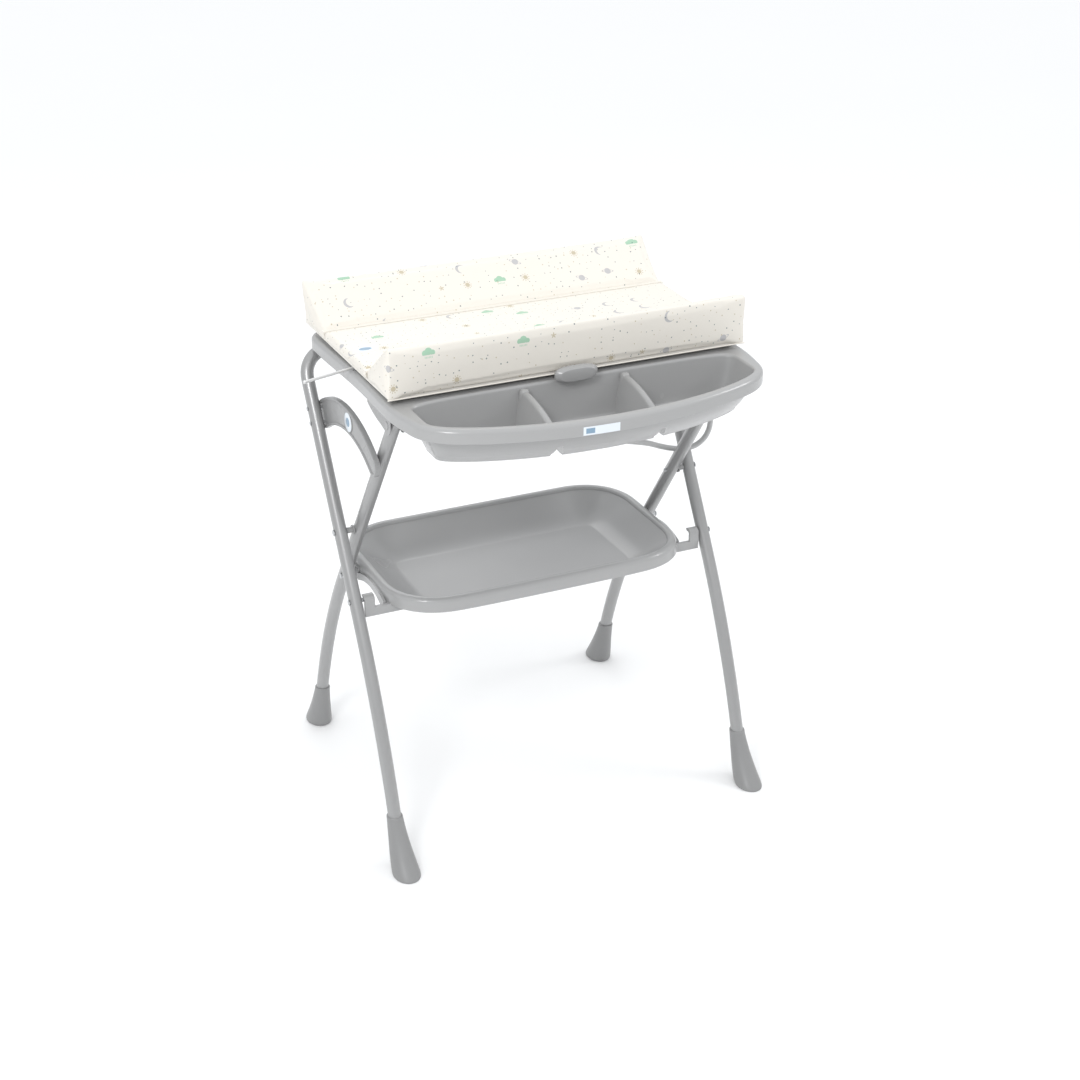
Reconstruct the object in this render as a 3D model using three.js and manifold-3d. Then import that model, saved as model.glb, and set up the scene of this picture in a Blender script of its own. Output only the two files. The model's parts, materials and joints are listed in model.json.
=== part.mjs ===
// Folding baby bath stand with a changing mat: a scissor frame of bent tube, a moulded tub with a wash
// basin and three cups, a padded mat hinged on top, and a shelf tray hung low between the legs.
// Millimetres. X runs across, +Y to the rear, +Z up. The parts are built with Y = 0 at the scissor
// pivots, and the whole group is then shifted so that the origin lies at the middle of the footprint.
import * as THREE from 'three';
import { mergeVertices } from 'three/addons/utils/BufferGeometryUtils.js';
import Module from 'manifold-3d';

const wasm = await Module();
wasm.setup();

// ---- driving dimensions ---------------------------------------------------------------------------
const SHIFT_X = 33;            // the towel bar reaches further left than the legs reach right
const SHIFT_Y = 49;            // the tub reaches further forward than the rear feet reach back
const GAP = 0.3;               // left between pieces that touch

const TUBE_R = 12.5;           // frame tube, outside
const TUBE_BORE_R = 11.2;
const TUBE_SIDES = 12;
const OUTER_X = 373;           // plane of the legs that run from rear top to front bottom
const INNER_X = 334;           // plane of the legs that run from front top to rear bottom
const PIVOT_Z = 584;
const OUTER_LEAN = THREE.MathUtils.degToRad(31);
const INNER_LEAN = THREE.MathUtils.degToRad(34);
const LEG_BOW_Z = 430;         // below this height the legs bow towards the vertical
const OUTER_BOW_R = 1700;
const INNER_BOW_R = 1250;
const LEG_END_Z = 42;          // the tube ends inside its boot
const CROSSBAR_Z = 880;        // rear crossbar that carries the tub
const CROSSBAR_Y = Math.tan(OUTER_LEAN) * (CROSSBAR_Z - PIVOT_Z);
const TOP_BEND_R = 50;
const HINGE_Z = 870;           // tub hinge at the top of the inner legs
const HINGE_Y = -Math.tan(INNER_LEAN) * (HINGE_Z - PIVOT_Z);
const HINGE_BAR_R = 7;

const RIM_TOP = 914;           // tub
const RIM_SKIRT = 888;
const RIM_FRONT = -419;
const RIM_REAR = 200;
const RIM_BOW_R = 740;
const WALL = 2.6;
const BASIN_FLOOR = 763;
const CUP_FLOOR = 834;
const BRIDGE_FRONT = -218;     // the rim's bridge between the basin and the cups ends here
const DIVIDER_X = 100;
const KNOB_H = 40;             // the post at the rear end of each divider's crest

const MAT_BASE = 923;          // mat
const MAT_HALF = 358;
const MAT_FRONT = -217;
const MAT_REAR = 210;
const BOARD_T = 4;
const PAD_TOP = 945;
const FRONT_BOLSTER_TOP = 1020;
const REAR_BOLSTER_TOP = 1010;
const CREASE_Y = 108;          // where each bolster meets the flat centre

const TRAY_TOP = 480;          // shelf tray
const TRAY_SKIRT = 453;
const TRAY_FLOOR = 426;
const TRAY_HALF = 312;
const TRAY_FRONT = -152;
const TRAY_REAR = 222;
const TRAY_PIN = { y: 82, z: 447 };
const HOOK_PIN = { y: -70, z: 470 };
const PIN_R = 4;

const ARM_R = 237;             // guide arm: an arc about the scissor pivot
const ARM_ROOT_HALF = 28;       // half its width at the outer leg
const ARM_TIP_HALF = 20;
const ARM_ROOT_DROP = 13;      // its outline runs this much nearer the pivot at the outer leg
const GUIDE_PIN_R = 3;
const RIVET_R = 2.5;
const HINGE_BAR_HALF = 349.2;
const HOSE_R = 5.5;

// ---- materials ------------------------------------------------------------------------------------
const paint = new THREE.MeshStandardMaterial({ color: 0x8f9191, roughness: 0.42, metalness: 0.35 });
const plastic = new THREE.MeshStandardMaterial({ color: 0xababab, roughness: 0.3, metalness: 0 });
const boot = new THREE.MeshStandardMaterial({ color: 0x8c8c8c, roughness: 0.45, metalness: 0 });
const zinc = new THREE.MeshStandardMaterial({ color: 0xb9bbbd, roughness: 0.3, metalness: 0.9 });
const dark = new THREE.MeshStandardMaterial({ color: 0x6d6f70, roughness: 0.5, metalness: 0.2 });
const cover = new THREE.MeshStandardMaterial({ color: 0xf4efe6, roughness: 0.6, metalness: 0 });
const white = new THREE.MeshStandardMaterial({ color: 0xf2f2f0, roughness: 0.5, metalness: 0 });
const hosePlastic = new THREE.MeshStandardMaterial({ color: 0xbcbcbc, roughness: 0.5, metalness: 0 });

// ---- geometry helpers -----------------------------------------------------------------------------
function solidOf(geometry) {
  const bare = geometry.clone();
  bare.deleteAttribute('normal');
  bare.deleteAttribute('uv');
  const merged = mergeVertices(bare, 1e-3);
  const vertProperties = Float32Array.from(merged.attributes.position.array);
  const triVerts = Uint32Array.from(merged.index.array);
  return new wasm.Manifold(new wasm.Mesh({ numProp: 3, vertProperties, triVerts }));
}

function geometryOf(solid) {
  const mesh = solid.getMesh();
  const geometry = new THREE.BufferGeometry();
  geometry.setAttribute('position', new THREE.BufferAttribute(Float32Array.from(mesh.vertProperties), 3));
  geometry.setIndex(new THREE.BufferAttribute(Uint32Array.from(mesh.triVerts), 1));
  return geometry;
}

const AXIS_TURN = {
  x: new THREE.Matrix4().makeRotationZ(-Math.PI / 2),
  y: new THREE.Matrix4(),
  z: new THREE.Matrix4().makeRotationX(Math.PI / 2),
};

// A cylinder or cone frustum centred at a point, with its axis along x, y or z.
function cylinder(axis, centre, radius, length, sides = 20, endRadius = radius) {
  const geometry = new THREE.CylinderGeometry(endRadius, radius, length, sides);
  geometry.applyMatrix4(AXIS_TURN[axis]);
  geometry.translate(centre.x, centre.y, centre.z);
  return solidOf(geometry);
}

function block(low, high) {
  const geometry = new THREE.BoxGeometry(high.x - low.x, high.y - low.y, high.z - low.z);
  geometry.translate((high.x + low.x) / 2, (high.y + low.y) / 2, (high.z + low.z) / 2);
  return solidOf(geometry);
}

// An outline drawn in (y, z) and extruded from x0 to x1.
function plateAcross(shape, x0, x1, curveSegments = 10) {
  const geometry = new THREE.ExtrudeGeometry(shape, { depth: x1 - x0, bevelEnabled: false, curveSegments });
  const turn = new THREE.Matrix4().makeBasis(
    new THREE.Vector3(0, 1, 0), new THREE.Vector3(0, 0, 1), new THREE.Vector3(1, 0, 0));
  geometry.applyMatrix4(turn);
  geometry.translate(x0, 0, 0);
  return solidOf(geometry);
}

function polygon(points) {
  return new THREE.Shape(points.map(([a, b]) => new THREE.Vector2(a, b)));
}

// A closed solid through rings of the same number of points, lowest ring first.
function loft(rings) {
  const count = rings[0].length;
  const position = rings.flat().flatMap((p) => [p.x, p.y, p.z]);
  const index = [];
  for (let r = 0; r < rings.length - 1; r++) {
    for (let i = 0; i < count; i++) {
      const a = r * count + i;
      const b = r * count + ((i + 1) % count);
      index.push(a, b, b + count, a, b + count, a + count);
    }
  }
  const caps = [[rings[0], 0, -1], [rings.at(-1), (rings.length - 1) * count, 1]];
  for (const [ring, first, facing] of caps) {
    const flat = ring.map((p) => new THREE.Vector2(p.x, p.y));
    for (const [a, b, c] of THREE.ShapeUtils.triangulateShape(flat, [])) {
      index.push(first + a, first + (facing > 0 ? b : c), first + (facing > 0 ? c : b));
    }
  }
  const geometry = new THREE.BufferGeometry();
  geometry.setAttribute('position', new THREE.Float32BufferAttribute(position, 3));
  geometry.setIndex(index);
  return solidOf(geometry);
}

// A curve whose extrusion rings stand exactly at the points it was given.
class StationCurve extends THREE.CatmullRomCurve3 {
  constructor(points) { super(points, false, 'centripetal'); }
  getPointAt(t, target) { return this.getPoint(t, target); }
  getTangentAt(t, target) { return this.getTangent(t, target); }
  getSpacedPoints(count) { return this.getPoints(count); }
}

function sweep(points, radius, boreRadius = 0, sides = TUBE_SIDES) {
  const section = new THREE.Shape().absarc(0, 0, radius, 0, Math.PI * 2, false);
  if (boreRadius) section.holes.push(new THREE.Path().absarc(0, 0, boreRadius, 0, Math.PI * 2, true));
  const extrudePath = new StationCurve(points);
  const geometry = new THREE.ExtrudeGeometry(section, {
    steps: points.length - 1, extrudePath, bevelEnabled: false, curveSegments: sides / 2,
  });
  return solidOf(geometry);
}

function at(x, y, z) { return new THREE.Vector3(x, y, z); }

const table = new THREE.Group();

function add(name, solid, material) {
  const mesh = new THREE.Mesh(geometryOf(solid), material);
  mesh.name = name;
  table.add(mesh);
}

function bothSides(build) {
  for (const [word, side] of [['left', -1], ['right', 1]]) build(word, side);
}

// ---- frame tubes ----------------------------------------------------------------------------------
// Centreline of a leg from its foot up to topZ: an arc below LEG_BOW_Z, straight above it. slant is +1
// where the top leans to the rear and -1 where it leans to the front.
function legLine(x, slant, lean, bowR, footZ, topZ) {
  const bowY = slant * Math.tan(lean) * (LEG_BOW_Z - PIVOT_Z);
  const footLean = Math.asin(Math.sin(lean) - (LEG_BOW_Z - footZ) / bowR);
  const bowSteps = 5;
  const points = [];
  for (let i = 0; i <= bowSteps; i++) {
    const a = THREE.MathUtils.lerp(footLean, lean, i / bowSteps);
    const y = bowY - slant * bowR * (Math.cos(a) - Math.cos(lean));
    points.push(at(x, y, LEG_BOW_Z - bowR * (Math.sin(lean) - Math.sin(a))));
  }
  const topY = slant * Math.tan(lean) * (topZ - PIVOT_Z);
  const low = points.at(-1);
  const high = at(x, topY, topZ);
  for (const t of [0.04, 0.96, 1]) points.push(low.clone().lerp(high, t));
  return points;
}

function outerLegLine(side) {
  const up = at(0, Math.sin(OUTER_LEAN), Math.cos(OUTER_LEAN));
  const bendZ = CROSSBAR_Z - TOP_BEND_R * Math.cos(OUTER_LEAN);
  const points = legLine(side * OUTER_X, 1, OUTER_LEAN, OUTER_BOW_R, LEG_END_Z, bendZ);
  const start = points.at(-1).clone();
  const bendSteps = 5;
  for (let i = 1; i <= bendSteps; i++) {
    const a = (i / bendSteps) * Math.PI / 2;
    const inward = at(-side * TOP_BEND_R * (1 - Math.cos(a)), 0, 0);
    points.push(start.clone().addScaledVector(up, TOP_BEND_R * Math.sin(a)).add(inward));
  }
  const straightEnd = 4;
  points.push(points.at(-1).clone().add(at(-side * straightEnd, 0, 0)));
  return points;
}

function innerLegLine(side) {
  const beyondHinge = 10;
  return legLine(side * INNER_X, -1, INNER_LEAN, INNER_BOW_R, LEG_END_Z, HINGE_Z + beyondHinge);
}

// The boot is a flared sleeve, pushed onto the tube and flat underneath.
function bootSolid(line, soleShift, slant) {
  const bootTop = 100;
  const foot = line[0];
  const axisAt = (z) => {
    const i = line.findIndex((p) => p.z > z);
    const [a, b] = [line[Math.max(i - 1, 0)], line[Math.max(i, 1)]];
    return a.clone().lerp(b, (z - a.z) / (b.z - a.z));
  };
  const sections = [[0, 24.5, 31], [3, 26, 33], [12, 25.2, 31.5], [32, 22.5, 27], [60, 18.8, 21],
    [86, 16.2, 17], [96, 15.4, 16], [bootTop, 14.4, 14.9]];
  const rings = sections.map(([z, halfX, halfY]) => {
    const spread = soleShift * (1 - z / bootTop) ** 2;
    const centre = axisAt(Math.max(z, 1));
    return Array.from({ length: 18 }, (_, i) => {
      const a = (i / 18) * Math.PI * 2;
      return at(centre.x + halfX * Math.cos(a), centre.y - slant * spread + halfY * Math.sin(a), z);
    });
  });
  const below = foot.clone().sub(line[1]).setLength(GAP);
  const socket = sweep([foot.clone().add(below), ...line], TUBE_R + GAP);
  return loft(rings).subtract(socket);
}

// A fastener across the tubes: a pin along x with a domed head at its outer end.
function pinAcross(side, innerX, outerX, y, z, radius, headRadius, headT = 1.8) {
  const middle = side * (innerX + outerX) / 2;
  const shank = cylinder('x', at(middle, y, z), radius, outerX - innerX, 12);
  const head = cylinder('x', at(side * (outerX + headT / 2), y, z), headRadius, headT, 16);
  return shank.add(head);
}

// ---- scissor frame --------------------------------------------------------------------------------
const ARM_RIVETS = [210, 238].map((d) => (
  { y: d * Math.sin(OUTER_LEAN), z: PIVOT_Z + d * Math.cos(OUTER_LEAN) }));
const ARM_REST_ANGLE = Math.PI / 2 + INNER_LEAN;      // where the sliding pin stands when open
const FOLD = THREE.MathUtils.degToRad(50);

function acrossHole(side, r, y, z) {
  return cylinder('x', at(side * 350, y, z), r + GAP, 120, 12);
}

function buildLegs(word, side) {
  const outerLine = outerLegLine(side);
  const innerLine = innerLegLine(side);
  let outerLeg = sweep(outerLine, TUBE_R, TUBE_BORE_R);
  for (const { y, z } of [{ y: 0, z: PIVOT_Z }, HOOK_PIN]) {
    outerLeg = outerLeg.subtract(acrossHole(side, PIN_R, y, z));
  }
  let innerLeg = sweep(innerLine, TUBE_R, TUBE_BORE_R);
  for (const { y, z } of [{ y: 0, z: PIVOT_Z }, TRAY_PIN]) {
    innerLeg = innerLeg.subtract(acrossHole(side, PIN_R, y, z));
  }
  innerLeg = innerLeg.subtract(acrossHole(side, HINGE_BAR_R, HINGE_Y, HINGE_Z));
  if (side < 0) {
    for (const { y, z } of ARM_RIVETS) outerLeg = outerLeg.subtract(acrossHole(side, RIVET_R, y, z));
    const { y, z } = armPoint(ARM_REST_ANGLE);
    innerLeg = innerLeg.subtract(acrossHole(side, GUIDE_PIN_R, y, z));
  }
  add(`outer_leg_${word}`, outerLeg, paint);
  add(`inner_leg_${word}`, innerLeg, paint);
  add(`front_boot_${word}`, bootSolid(outerLine, 26, 1), boot);
  add(`rear_boot_${word}`, bootSolid(innerLine, 8, -1), boot);
}

function buildFramePins(word, side) {
  const outerFace = OUTER_X + TUBE_R + GAP;
  const innerFace = INNER_X + TUBE_R + GAP;
  const pivotFrom = INNER_X - TUBE_R - 3;
  add(`scissor_pin_${word}`, pinAcross(side, pivotFrom, outerFace, 0, PIVOT_Z, PIN_R, 5.8, 1.6), zinc);
  const spacerTo = OUTER_X - TUBE_R - GAP;
  const spacerMiddle = at(side * (innerFace + spacerTo) / 2, 0, PIVOT_Z);
  const flange = 3;
  const spacer = cylinder('x', spacerMiddle, 5.6, spacerTo - innerFace, 18)
    .add(cylinder('x', at(side * (innerFace + flange / 2), 0, PIVOT_Z), 9, flange, 20));
  add(`scissor_spacer_${word}`, spacer.subtract(acrossHole(side, PIN_R, 0, PIVOT_Z)), dark);
  const hookPinTip = 344;
  const hookPin = pinAcross(side, hookPinTip, outerFace, HOOK_PIN.y, HOOK_PIN.z, PIN_R, 5.4, 1.3);
  add(`shelf_hook_pin_${word}`, hookPin, zinc);
  const lugInside = 297;
  const pivotPin = pinAcross(side, lugInside, innerFace, TRAY_PIN.y, TRAY_PIN.z, PIN_R, 5.4, 1.3);
  add(`shelf_pivot_pin_${word}`, pivotPin, zinc);
}

function armPoint(angle, radius = ARM_R) {
  return { y: radius * Math.cos(angle), z: PIVOT_Z + radius * Math.sin(angle) };
}

// A band of a ring about the scissor pivot, with round ends. Its half width may change along it, and its
// root may lie nearer the pivot.
function arcBand(fromAngle, toAngle, rootHalf, tipHalf = rootHalf, rootDrop = 0) {
  const steps = 10;
  const edge = (side) => Array.from({ length: steps + 1 }, (_, i) => {
    const a = THREE.MathUtils.lerp(fromAngle, toAngle, i / steps);
    const middle = ARM_R - rootDrop * (1 - i / steps);
    const r = middle + side * THREE.MathUtils.lerp(rootHalf, tipHalf, i / steps);
    return [r * Math.cos(a), PIVOT_Z + r * Math.sin(a)];
  });
  const cap = (centre, half, start) => Array.from({ length: 5 }, (_, i) => {
    const a = start + ((i + 1) / 6) * Math.PI;
    return [centre.y + half * Math.cos(a), centre.z + half * Math.sin(a)];
  });
  return polygon([...edge(1), ...cap(armPoint(toAngle), tipHalf, toAngle),
    ...edge(-1).reverse(), ...cap(armPoint(fromAngle, ARM_R - rootDrop), rootHalf, fromAngle + Math.PI)]);
}

// The guide arm is fixed to the left outer leg. A pin on the inner leg slides in its blind groove, and
// the groove's ends stop the frame when it is open and when it is folded.
function buildGuideArm() {
  const outside = -(OUTER_X - TUBE_R - GAP);
  const inside = outside + 10.5;
  const legAngle = Math.PI / 2 - OUTER_LEAN;
  const outline = arcBand(legAngle + 0.03, ARM_REST_ANGLE + 0.05, ARM_ROOT_HALF, ARM_TIP_HALF, ARM_ROOT_DROP);
  let arm = plateAcross(outline, outside, inside);
  const play = 0.012;
  const groove = arcBand(ARM_REST_ANGLE - FOLD - play, ARM_REST_ANGLE + play, GUIDE_PIN_R + 0.5);
  arm = arm.subtract(plateAcross(groove, inside - 6, inside + 5));
  for (const { y, z } of ARM_RIVETS) arm = arm.subtract(acrossHole(-1, RIVET_R, y, z));
  add('guide_arm', arm, dark);
  ARM_RIVETS.forEach(({ y, z }, i) => {
    const face = OUTER_X + TUBE_R + GAP;
    const rivet = pinAcross(-1, -inside - 0.5, face, y, z, RIVET_R, 3.8, 1.1);
    add(`guide_arm_rivet_${i ? 'upper' : 'lower'}`, rivet, zinc);
  });
  const { y, z } = armPoint(ARM_REST_ANGLE);
  const pinTip = -inside + 5;
  add('guide_pin', cylinder('x', at(-(INNER_X + pinTip) / 2, y, z), GUIDE_PIN_R, pinTip - INNER_X, 14), zinc);
}

function buildCrossTubes() {
  const barHalf = OUTER_X - TOP_BEND_R - 4 - GAP;
  const middle = at(0, CROSSBAR_Y, CROSSBAR_Z);
  const bar = cylinder('x', middle, TUBE_R, 2 * barHalf, 24);
  add('rear_crossbar', bar.subtract(cylinder('x', middle, TUBE_BORE_R, 2 * barHalf + 2, 24)), paint);
  add('tub_hinge_bar', cylinder('x', at(0, HINGE_Y, HINGE_Z), HINGE_BAR_R, 2 * HINGE_BAR_HALF, 18), paint);
}

// ---- tub ------------------------------------------------------------------------------------------
// The rim's outline: a long bow in front, round front corners, slightly waisted sides, and a straight
// rear with tighter corners.
function rimOutline() {
  const bowHalf = 268;
  const bowY = RIM_FRONT + RIM_BOW_R - Math.sqrt(RIM_BOW_R ** 2 - bowHalf ** 2);
  const bowEnd = Math.asin(bowHalf / RIM_BOW_R);
  const rearCorner = 42;
  const shape = new THREE.Shape();
  shape.absarc(0, RIM_FRONT + RIM_BOW_R, RIM_BOW_R, -Math.PI / 2 - bowEnd, -Math.PI / 2 + bowEnd, false);
  shape.bezierCurveTo(bowHalf + 46, bowY + 18, 340, -322, 345, -288);
  shape.bezierCurveTo(349, -262, 355, -240, 355, -200);
  shape.bezierCurveTo(355, -140, 352, -120, 352, -70);
  shape.bezierCurveTo(352, 10, 358, 60, 358, RIM_REAR - rearCorner);
  shape.absarc(358 - rearCorner, RIM_REAR - rearCorner, rearCorner, 0, Math.PI / 2, false);
  shape.lineTo(-358 + rearCorner, RIM_REAR);
  shape.absarc(-358 + rearCorner, RIM_REAR - rearCorner, rearCorner, Math.PI / 2, Math.PI, false);
  shape.bezierCurveTo(-358, 60, -352, 10, -352, -70);
  shape.bezierCurveTo(-352, -120, -355, -140, -355, -200);
  shape.bezierCurveTo(-355, -240, -349, -262, -345, -288);
  shape.bezierCurveTo(-340, -322, -bowHalf - 46, bowY + 18, -bowHalf, bowY);
  return shape.getPoints(4).filter((p, i, all) => i === 0 || p.distanceTo(all[i - 1]) > 1)
    .filter((p, i, all) => i === 0 || p.distanceTo(all[0]) > 1);
}

// A ring moved inwards by inset along its own normals, at height z.
function insetRing(outline, inset, z) {
  const n = outline.length;
  return outline.map((p, i) => {
    const along = outline[(i + 1) % n].clone().sub(outline[(i + n - 1) % n]).normalize();
    return at(p.x - along.y * inset, p.y + along.x * inset, z);
  });
}

// A squarish ring: a superellipse between a straight rear edge and a front edge given by frontY(x).
function squarishRing(midX, halfX, rearY, frontY, z, power = 4, count = 32) {
  return Array.from({ length: count }, (_, i) => {
    const a = (i / count) * Math.PI * 2;
    const bend = (v) => Math.sign(v) * Math.abs(v) ** (2 / power);
    const x = midX + halfX * bend(Math.cos(a));
    const v = (bend(Math.sin(a)) + 1) / 2;
    return at(x, THREE.MathUtils.lerp(frontY(x), rearY, v), z);
  });
}

function cupFront(x, inset) {
  const innerBowR = RIM_BOW_R + 50;
  return RIM_FRONT + 21 + inset + innerBowR - Math.sqrt(innerBowR ** 2 - x ** 2);
}

// The wash basin's wall, from its floor up past the rim; grow is the wall's thickness for the outside.
function basinSolid(grow, topZ) {
  const stations = [[BASIN_FLOOR, 205, 48, -112], [BASIN_FLOOR + 5, 216, 57, -122], [785, 238, 76, -130],
    [830, 262, 112, -138], [870, 276, 138, -144], [RIM_TOP - 6, 286, 152, -149], [topZ, 290, 157, -151]];
  const rings = stations.map(([z, halfX, rearY, frontY], i) => {
    const floorDrop = i < 2 ? grow : 0;
    return squarishRing(0, halfX + grow, rearY + grow, () => frontY - grow, z - floorDrop, 5, 24);
  });
  return loft(rings);
}

// The trough for the three cups, from its floor up past the rim; grow is the wall for the outside.
function troughSolid(grow, topZ) {
  const stations = [[CUP_FLOOR, 288, 16, 46], [CUP_FLOOR + 4, 295, 11, 36], [870, 308, 5, 12],
    [RIM_TOP - 6, 318, 0, 1], [topZ, 319, -1, 0]];
  const rings = stations.map(([z, halfX, rearIn, frontIn], i) => {
    const floorDrop = i < 2 ? grow : 0;
    const front = (x) => cupFront(x, frontIn - grow);
    return squarishRing(0, halfX + grow, BRIDGE_FRONT - rearIn + grow, front, z - floorDrop, 7, 32);
  });
  return loft(rings);
}

// A divider is a hollow wedge across the trough. Its round crest stays high at the rear and falls in a
// convex sweep to the front wall. shrink makes the hollow that is open from below.
function dividerSolid(side, shrink) {
  const rear = BRIDGE_FRONT + 3;
  const sweepLine = new THREE.CubicBezierCurve(
    new THREE.Vector2(rear - 168, 858), new THREE.Vector2(rear - 128, 886),
    new THREE.Vector2(rear - 76, RIM_TOP - 7), new THREE.Vector2(rear, RIM_TOP - 6));
  const base = CUP_FLOOR - WALL - (shrink ? 6 : 0);
  const draft = 0.2;
  const crestHalf = 6.5;
  const stations = sweepLine.getPoints(8);
  const rings = stations.map(({ x: y, y: crest }) => {
    const top = crest - shrink;
    const half = crestHalf - shrink;
    const foot = half + draft * (top - base);
    const section = [[-foot, base], [foot, base], [half + 1, top - 6], [half * 0.75, top - 1.8], [0, top],
      [-half * 0.75, top - 1.8], [-half - 1, top - 6]];
    return section.map(([x, z]) => at(side * DIVIDER_X + x, z, -y));
  });
  return loft(rings.reverse()).rotate([90, 0, 0]);
}

function buildTub() {
  const outline = rimOutline();
  const slab = loft([insetRing(outline, 0, RIM_SKIRT), insetRing(outline, 0, RIM_TOP - 8),
    insetRing(outline, 2, RIM_TOP - 3), insetRing(outline, 6, RIM_TOP)]);
  const under = loft([insetRing(outline, WALL, RIM_SKIRT - 5), insetRing(outline, WALL, RIM_TOP - 9),
    insetRing(outline, WALL + 4, RIM_TOP - WALL)]);
  let tub = slab.subtract(under).add(basinSolid(WALL, RIM_TOP - 1)).add(troughSolid(WALL, RIM_TOP - 1));
  const trough = troughSolid(0, RIM_TOP + 4);
  tub = tub.subtract(basinSolid(0, RIM_TOP + 4)).subtract(trough);
  const troughOutside = troughSolid(WALL, RIM_TOP - 1);
  bothSides((word, side) => {
    const wedge = dividerSolid(side, 0).intersect(troughOutside);
    const x = side * DIVIDER_X;
    const knob = cylinder('z', at(x, BRIDGE_FRONT - 7, RIM_TOP - KNOB_H / 2 - 4), 9.5, KNOB_H, 20, 7.5);
    const hollowSpan = block(at(x - 60, RIM_FRONT, CUP_FLOOR - 20), at(x + 60, BRIDGE_FRONT - 18, RIM_TOP));
    tub = tub.add(wedge).add(knob).subtract(dividerSolid(side, WALL).intersect(hollowSpan));
  });
  tub = tub.subtract(cylinder('z', at(DRAIN.x, DRAIN.y, BASIN_FLOOR), DRAIN_BORE + 3 + GAP, 30, 20));
  for (const x of [-1, 1].map((side) => side * MAT_BUMPER_X)) {
    tub = tub.subtract(cylinder('z', at(x, MAT_BUMPER_Y, RIM_TOP), 2 + GAP, 30, 12));
  }
  add('bath_tub', tub, plastic);
}

// The clevis bracket under the rim that the inner leg's top turns in.
function buildTubBracket(word, side) {
  const cheek = new THREE.Shape();
  cheek.moveTo(-100, 906);
  cheek.lineTo(-100, 880);
  cheek.quadraticCurveTo(-128, 866, -162, 862);
  cheek.lineTo(HINGE_Y + 14, HINGE_Z - 12);
  cheek.absarc(HINGE_Y, HINGE_Z, 17, -Math.PI / 4, -Math.PI, true);
  cheek.lineTo(HINGE_Y - 17, 906);
  const cheekPlates = [[INNER_X - 15.6, INNER_X - 13], [INNER_X + 13, INNER_X + 14.6]];
  const web = block(at(INNER_X - 15.6, HINGE_Y - 17, 903.5), at(INNER_X + 14.6, -100, 906));
  let bracket = web;
  for (const [x0, x1] of cheekPlates) bracket = bracket.add(plateAcross(cheek, x0, x1));
  if (side < 0) bracket = bracket.mirror([1, 0, 0]);
  add(`tub_hinge_bracket_${word}`, bracket.subtract(acrossHole(side, HINGE_BAR_R, HINGE_Y, HINGE_Z)), dark);
}

// A half saddle under the rim that rests on the rear crossbar and lifts off it when the tub tilts.
function buildSaddle(word, side) {
  const low = at(side * 200 - 22, CROSSBAR_Y - 15, CROSSBAR_Z + 7);
  const high = at(side * 200 + 22, CROSSBAR_Y + 15, RIM_TOP - WALL - GAP);
  const seat = cylinder('x', at(side * 200, CROSSBAR_Y, CROSSBAR_Z), TUBE_R + GAP + 0.1, 60, 28);
  add(`crossbar_saddle_${word}`, block(low, high).subtract(seat), dark);
}

const DRAIN = { x: 150, y: -40 };
const DRAIN_BORE = 9;

function buildDrain() {
  const { x, y } = DRAIN;
  const under = BASIN_FLOOR - WALL - GAP;
  const collar = cylinder('z', at(x, y, BASIN_FLOOR - 2), DRAIN_BORE + 3, 9, 24)
    .add(cylinder('z', at(x, y, under - 2), 19, 4, 28))
    .add(cylinder('z', at(x, y, under - 12), 8, 20, 20));
  const waterway = cylinder('z', at(x, y, BASIN_FLOOR), DRAIN_BORE, 13, 20)
    .add(cylinder('z', at(x, y, under - 14), 6, 40, 16));
  add('drain_fitting', collar.subtract(waterway), dark);
  const plug = cylinder('z', at(x, y, BASIN_FLOOR + 5), DRAIN_BORE + 5, 4, 24)
    .add(cylinder('z', at(x, y, BASIN_FLOOR), DRAIN_BORE - GAP, 6, 20))
    .add(cylinder('z', at(x, y, BASIN_FLOOR + 9), 4, 8, 14));
  add('drain_plug', plug, hosePlastic);
}

// ---- changing mat ---------------------------------------------------------------------------------
const MAT_BUMPER_X = 330;
const MAT_BUMPER_Y = -186;

function softProfile(points, x0, x1, name) {
  add(name, plateAcross(polygon(points), x0, x1), cover);
}

function buildMat() {
  const boardLow = at(-MAT_HALF + 1, MAT_FRONT + 1, MAT_BASE);
  const board = block(boardLow, at(MAT_HALF - 1, MAT_REAR - 1, MAT_BASE + BOARD_T));
  add('mat_board', board, white);
  const low = MAT_BASE + BOARD_T + GAP;
  const side = MAT_HALF - 2;
  const seam = 1;
  const edge = PAD_TOP - 3;
  softProfile([[-CREASE_Y + seam, low], [CREASE_Y - seam, low], [CREASE_Y - seam, edge],
    [CREASE_Y - 10, PAD_TOP], [-CREASE_Y + 10, PAD_TOP], [-CREASE_Y + seam, edge]], -side, side, 'mat_centre_pad');
  softProfile([[MAT_FRONT + 1, low], [-CREASE_Y - seam, low], [-CREASE_Y - seam, PAD_TOP],
    [MAT_FRONT + 14, FRONT_BOLSTER_TOP - 2], [MAT_FRONT + 9, FRONT_BOLSTER_TOP],
    [MAT_FRONT + 4, FRONT_BOLSTER_TOP - 1],
    [MAT_FRONT + 1, FRONT_BOLSTER_TOP - 6]], -side, side, 'mat_front_bolster');
  softProfile([[CREASE_Y + seam, low], [MAT_REAR - 1, low], [MAT_REAR - 1, REAR_BOLSTER_TOP - 6],
    [MAT_REAR - 4, REAR_BOLSTER_TOP - 1], [MAT_REAR - 8, REAR_BOLSTER_TOP],
    [MAT_REAR - 13, REAR_BOLSTER_TOP - 2], [CREASE_Y + seam, PAD_TOP]], -side, side, 'mat_rear_bolster');
}

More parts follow.
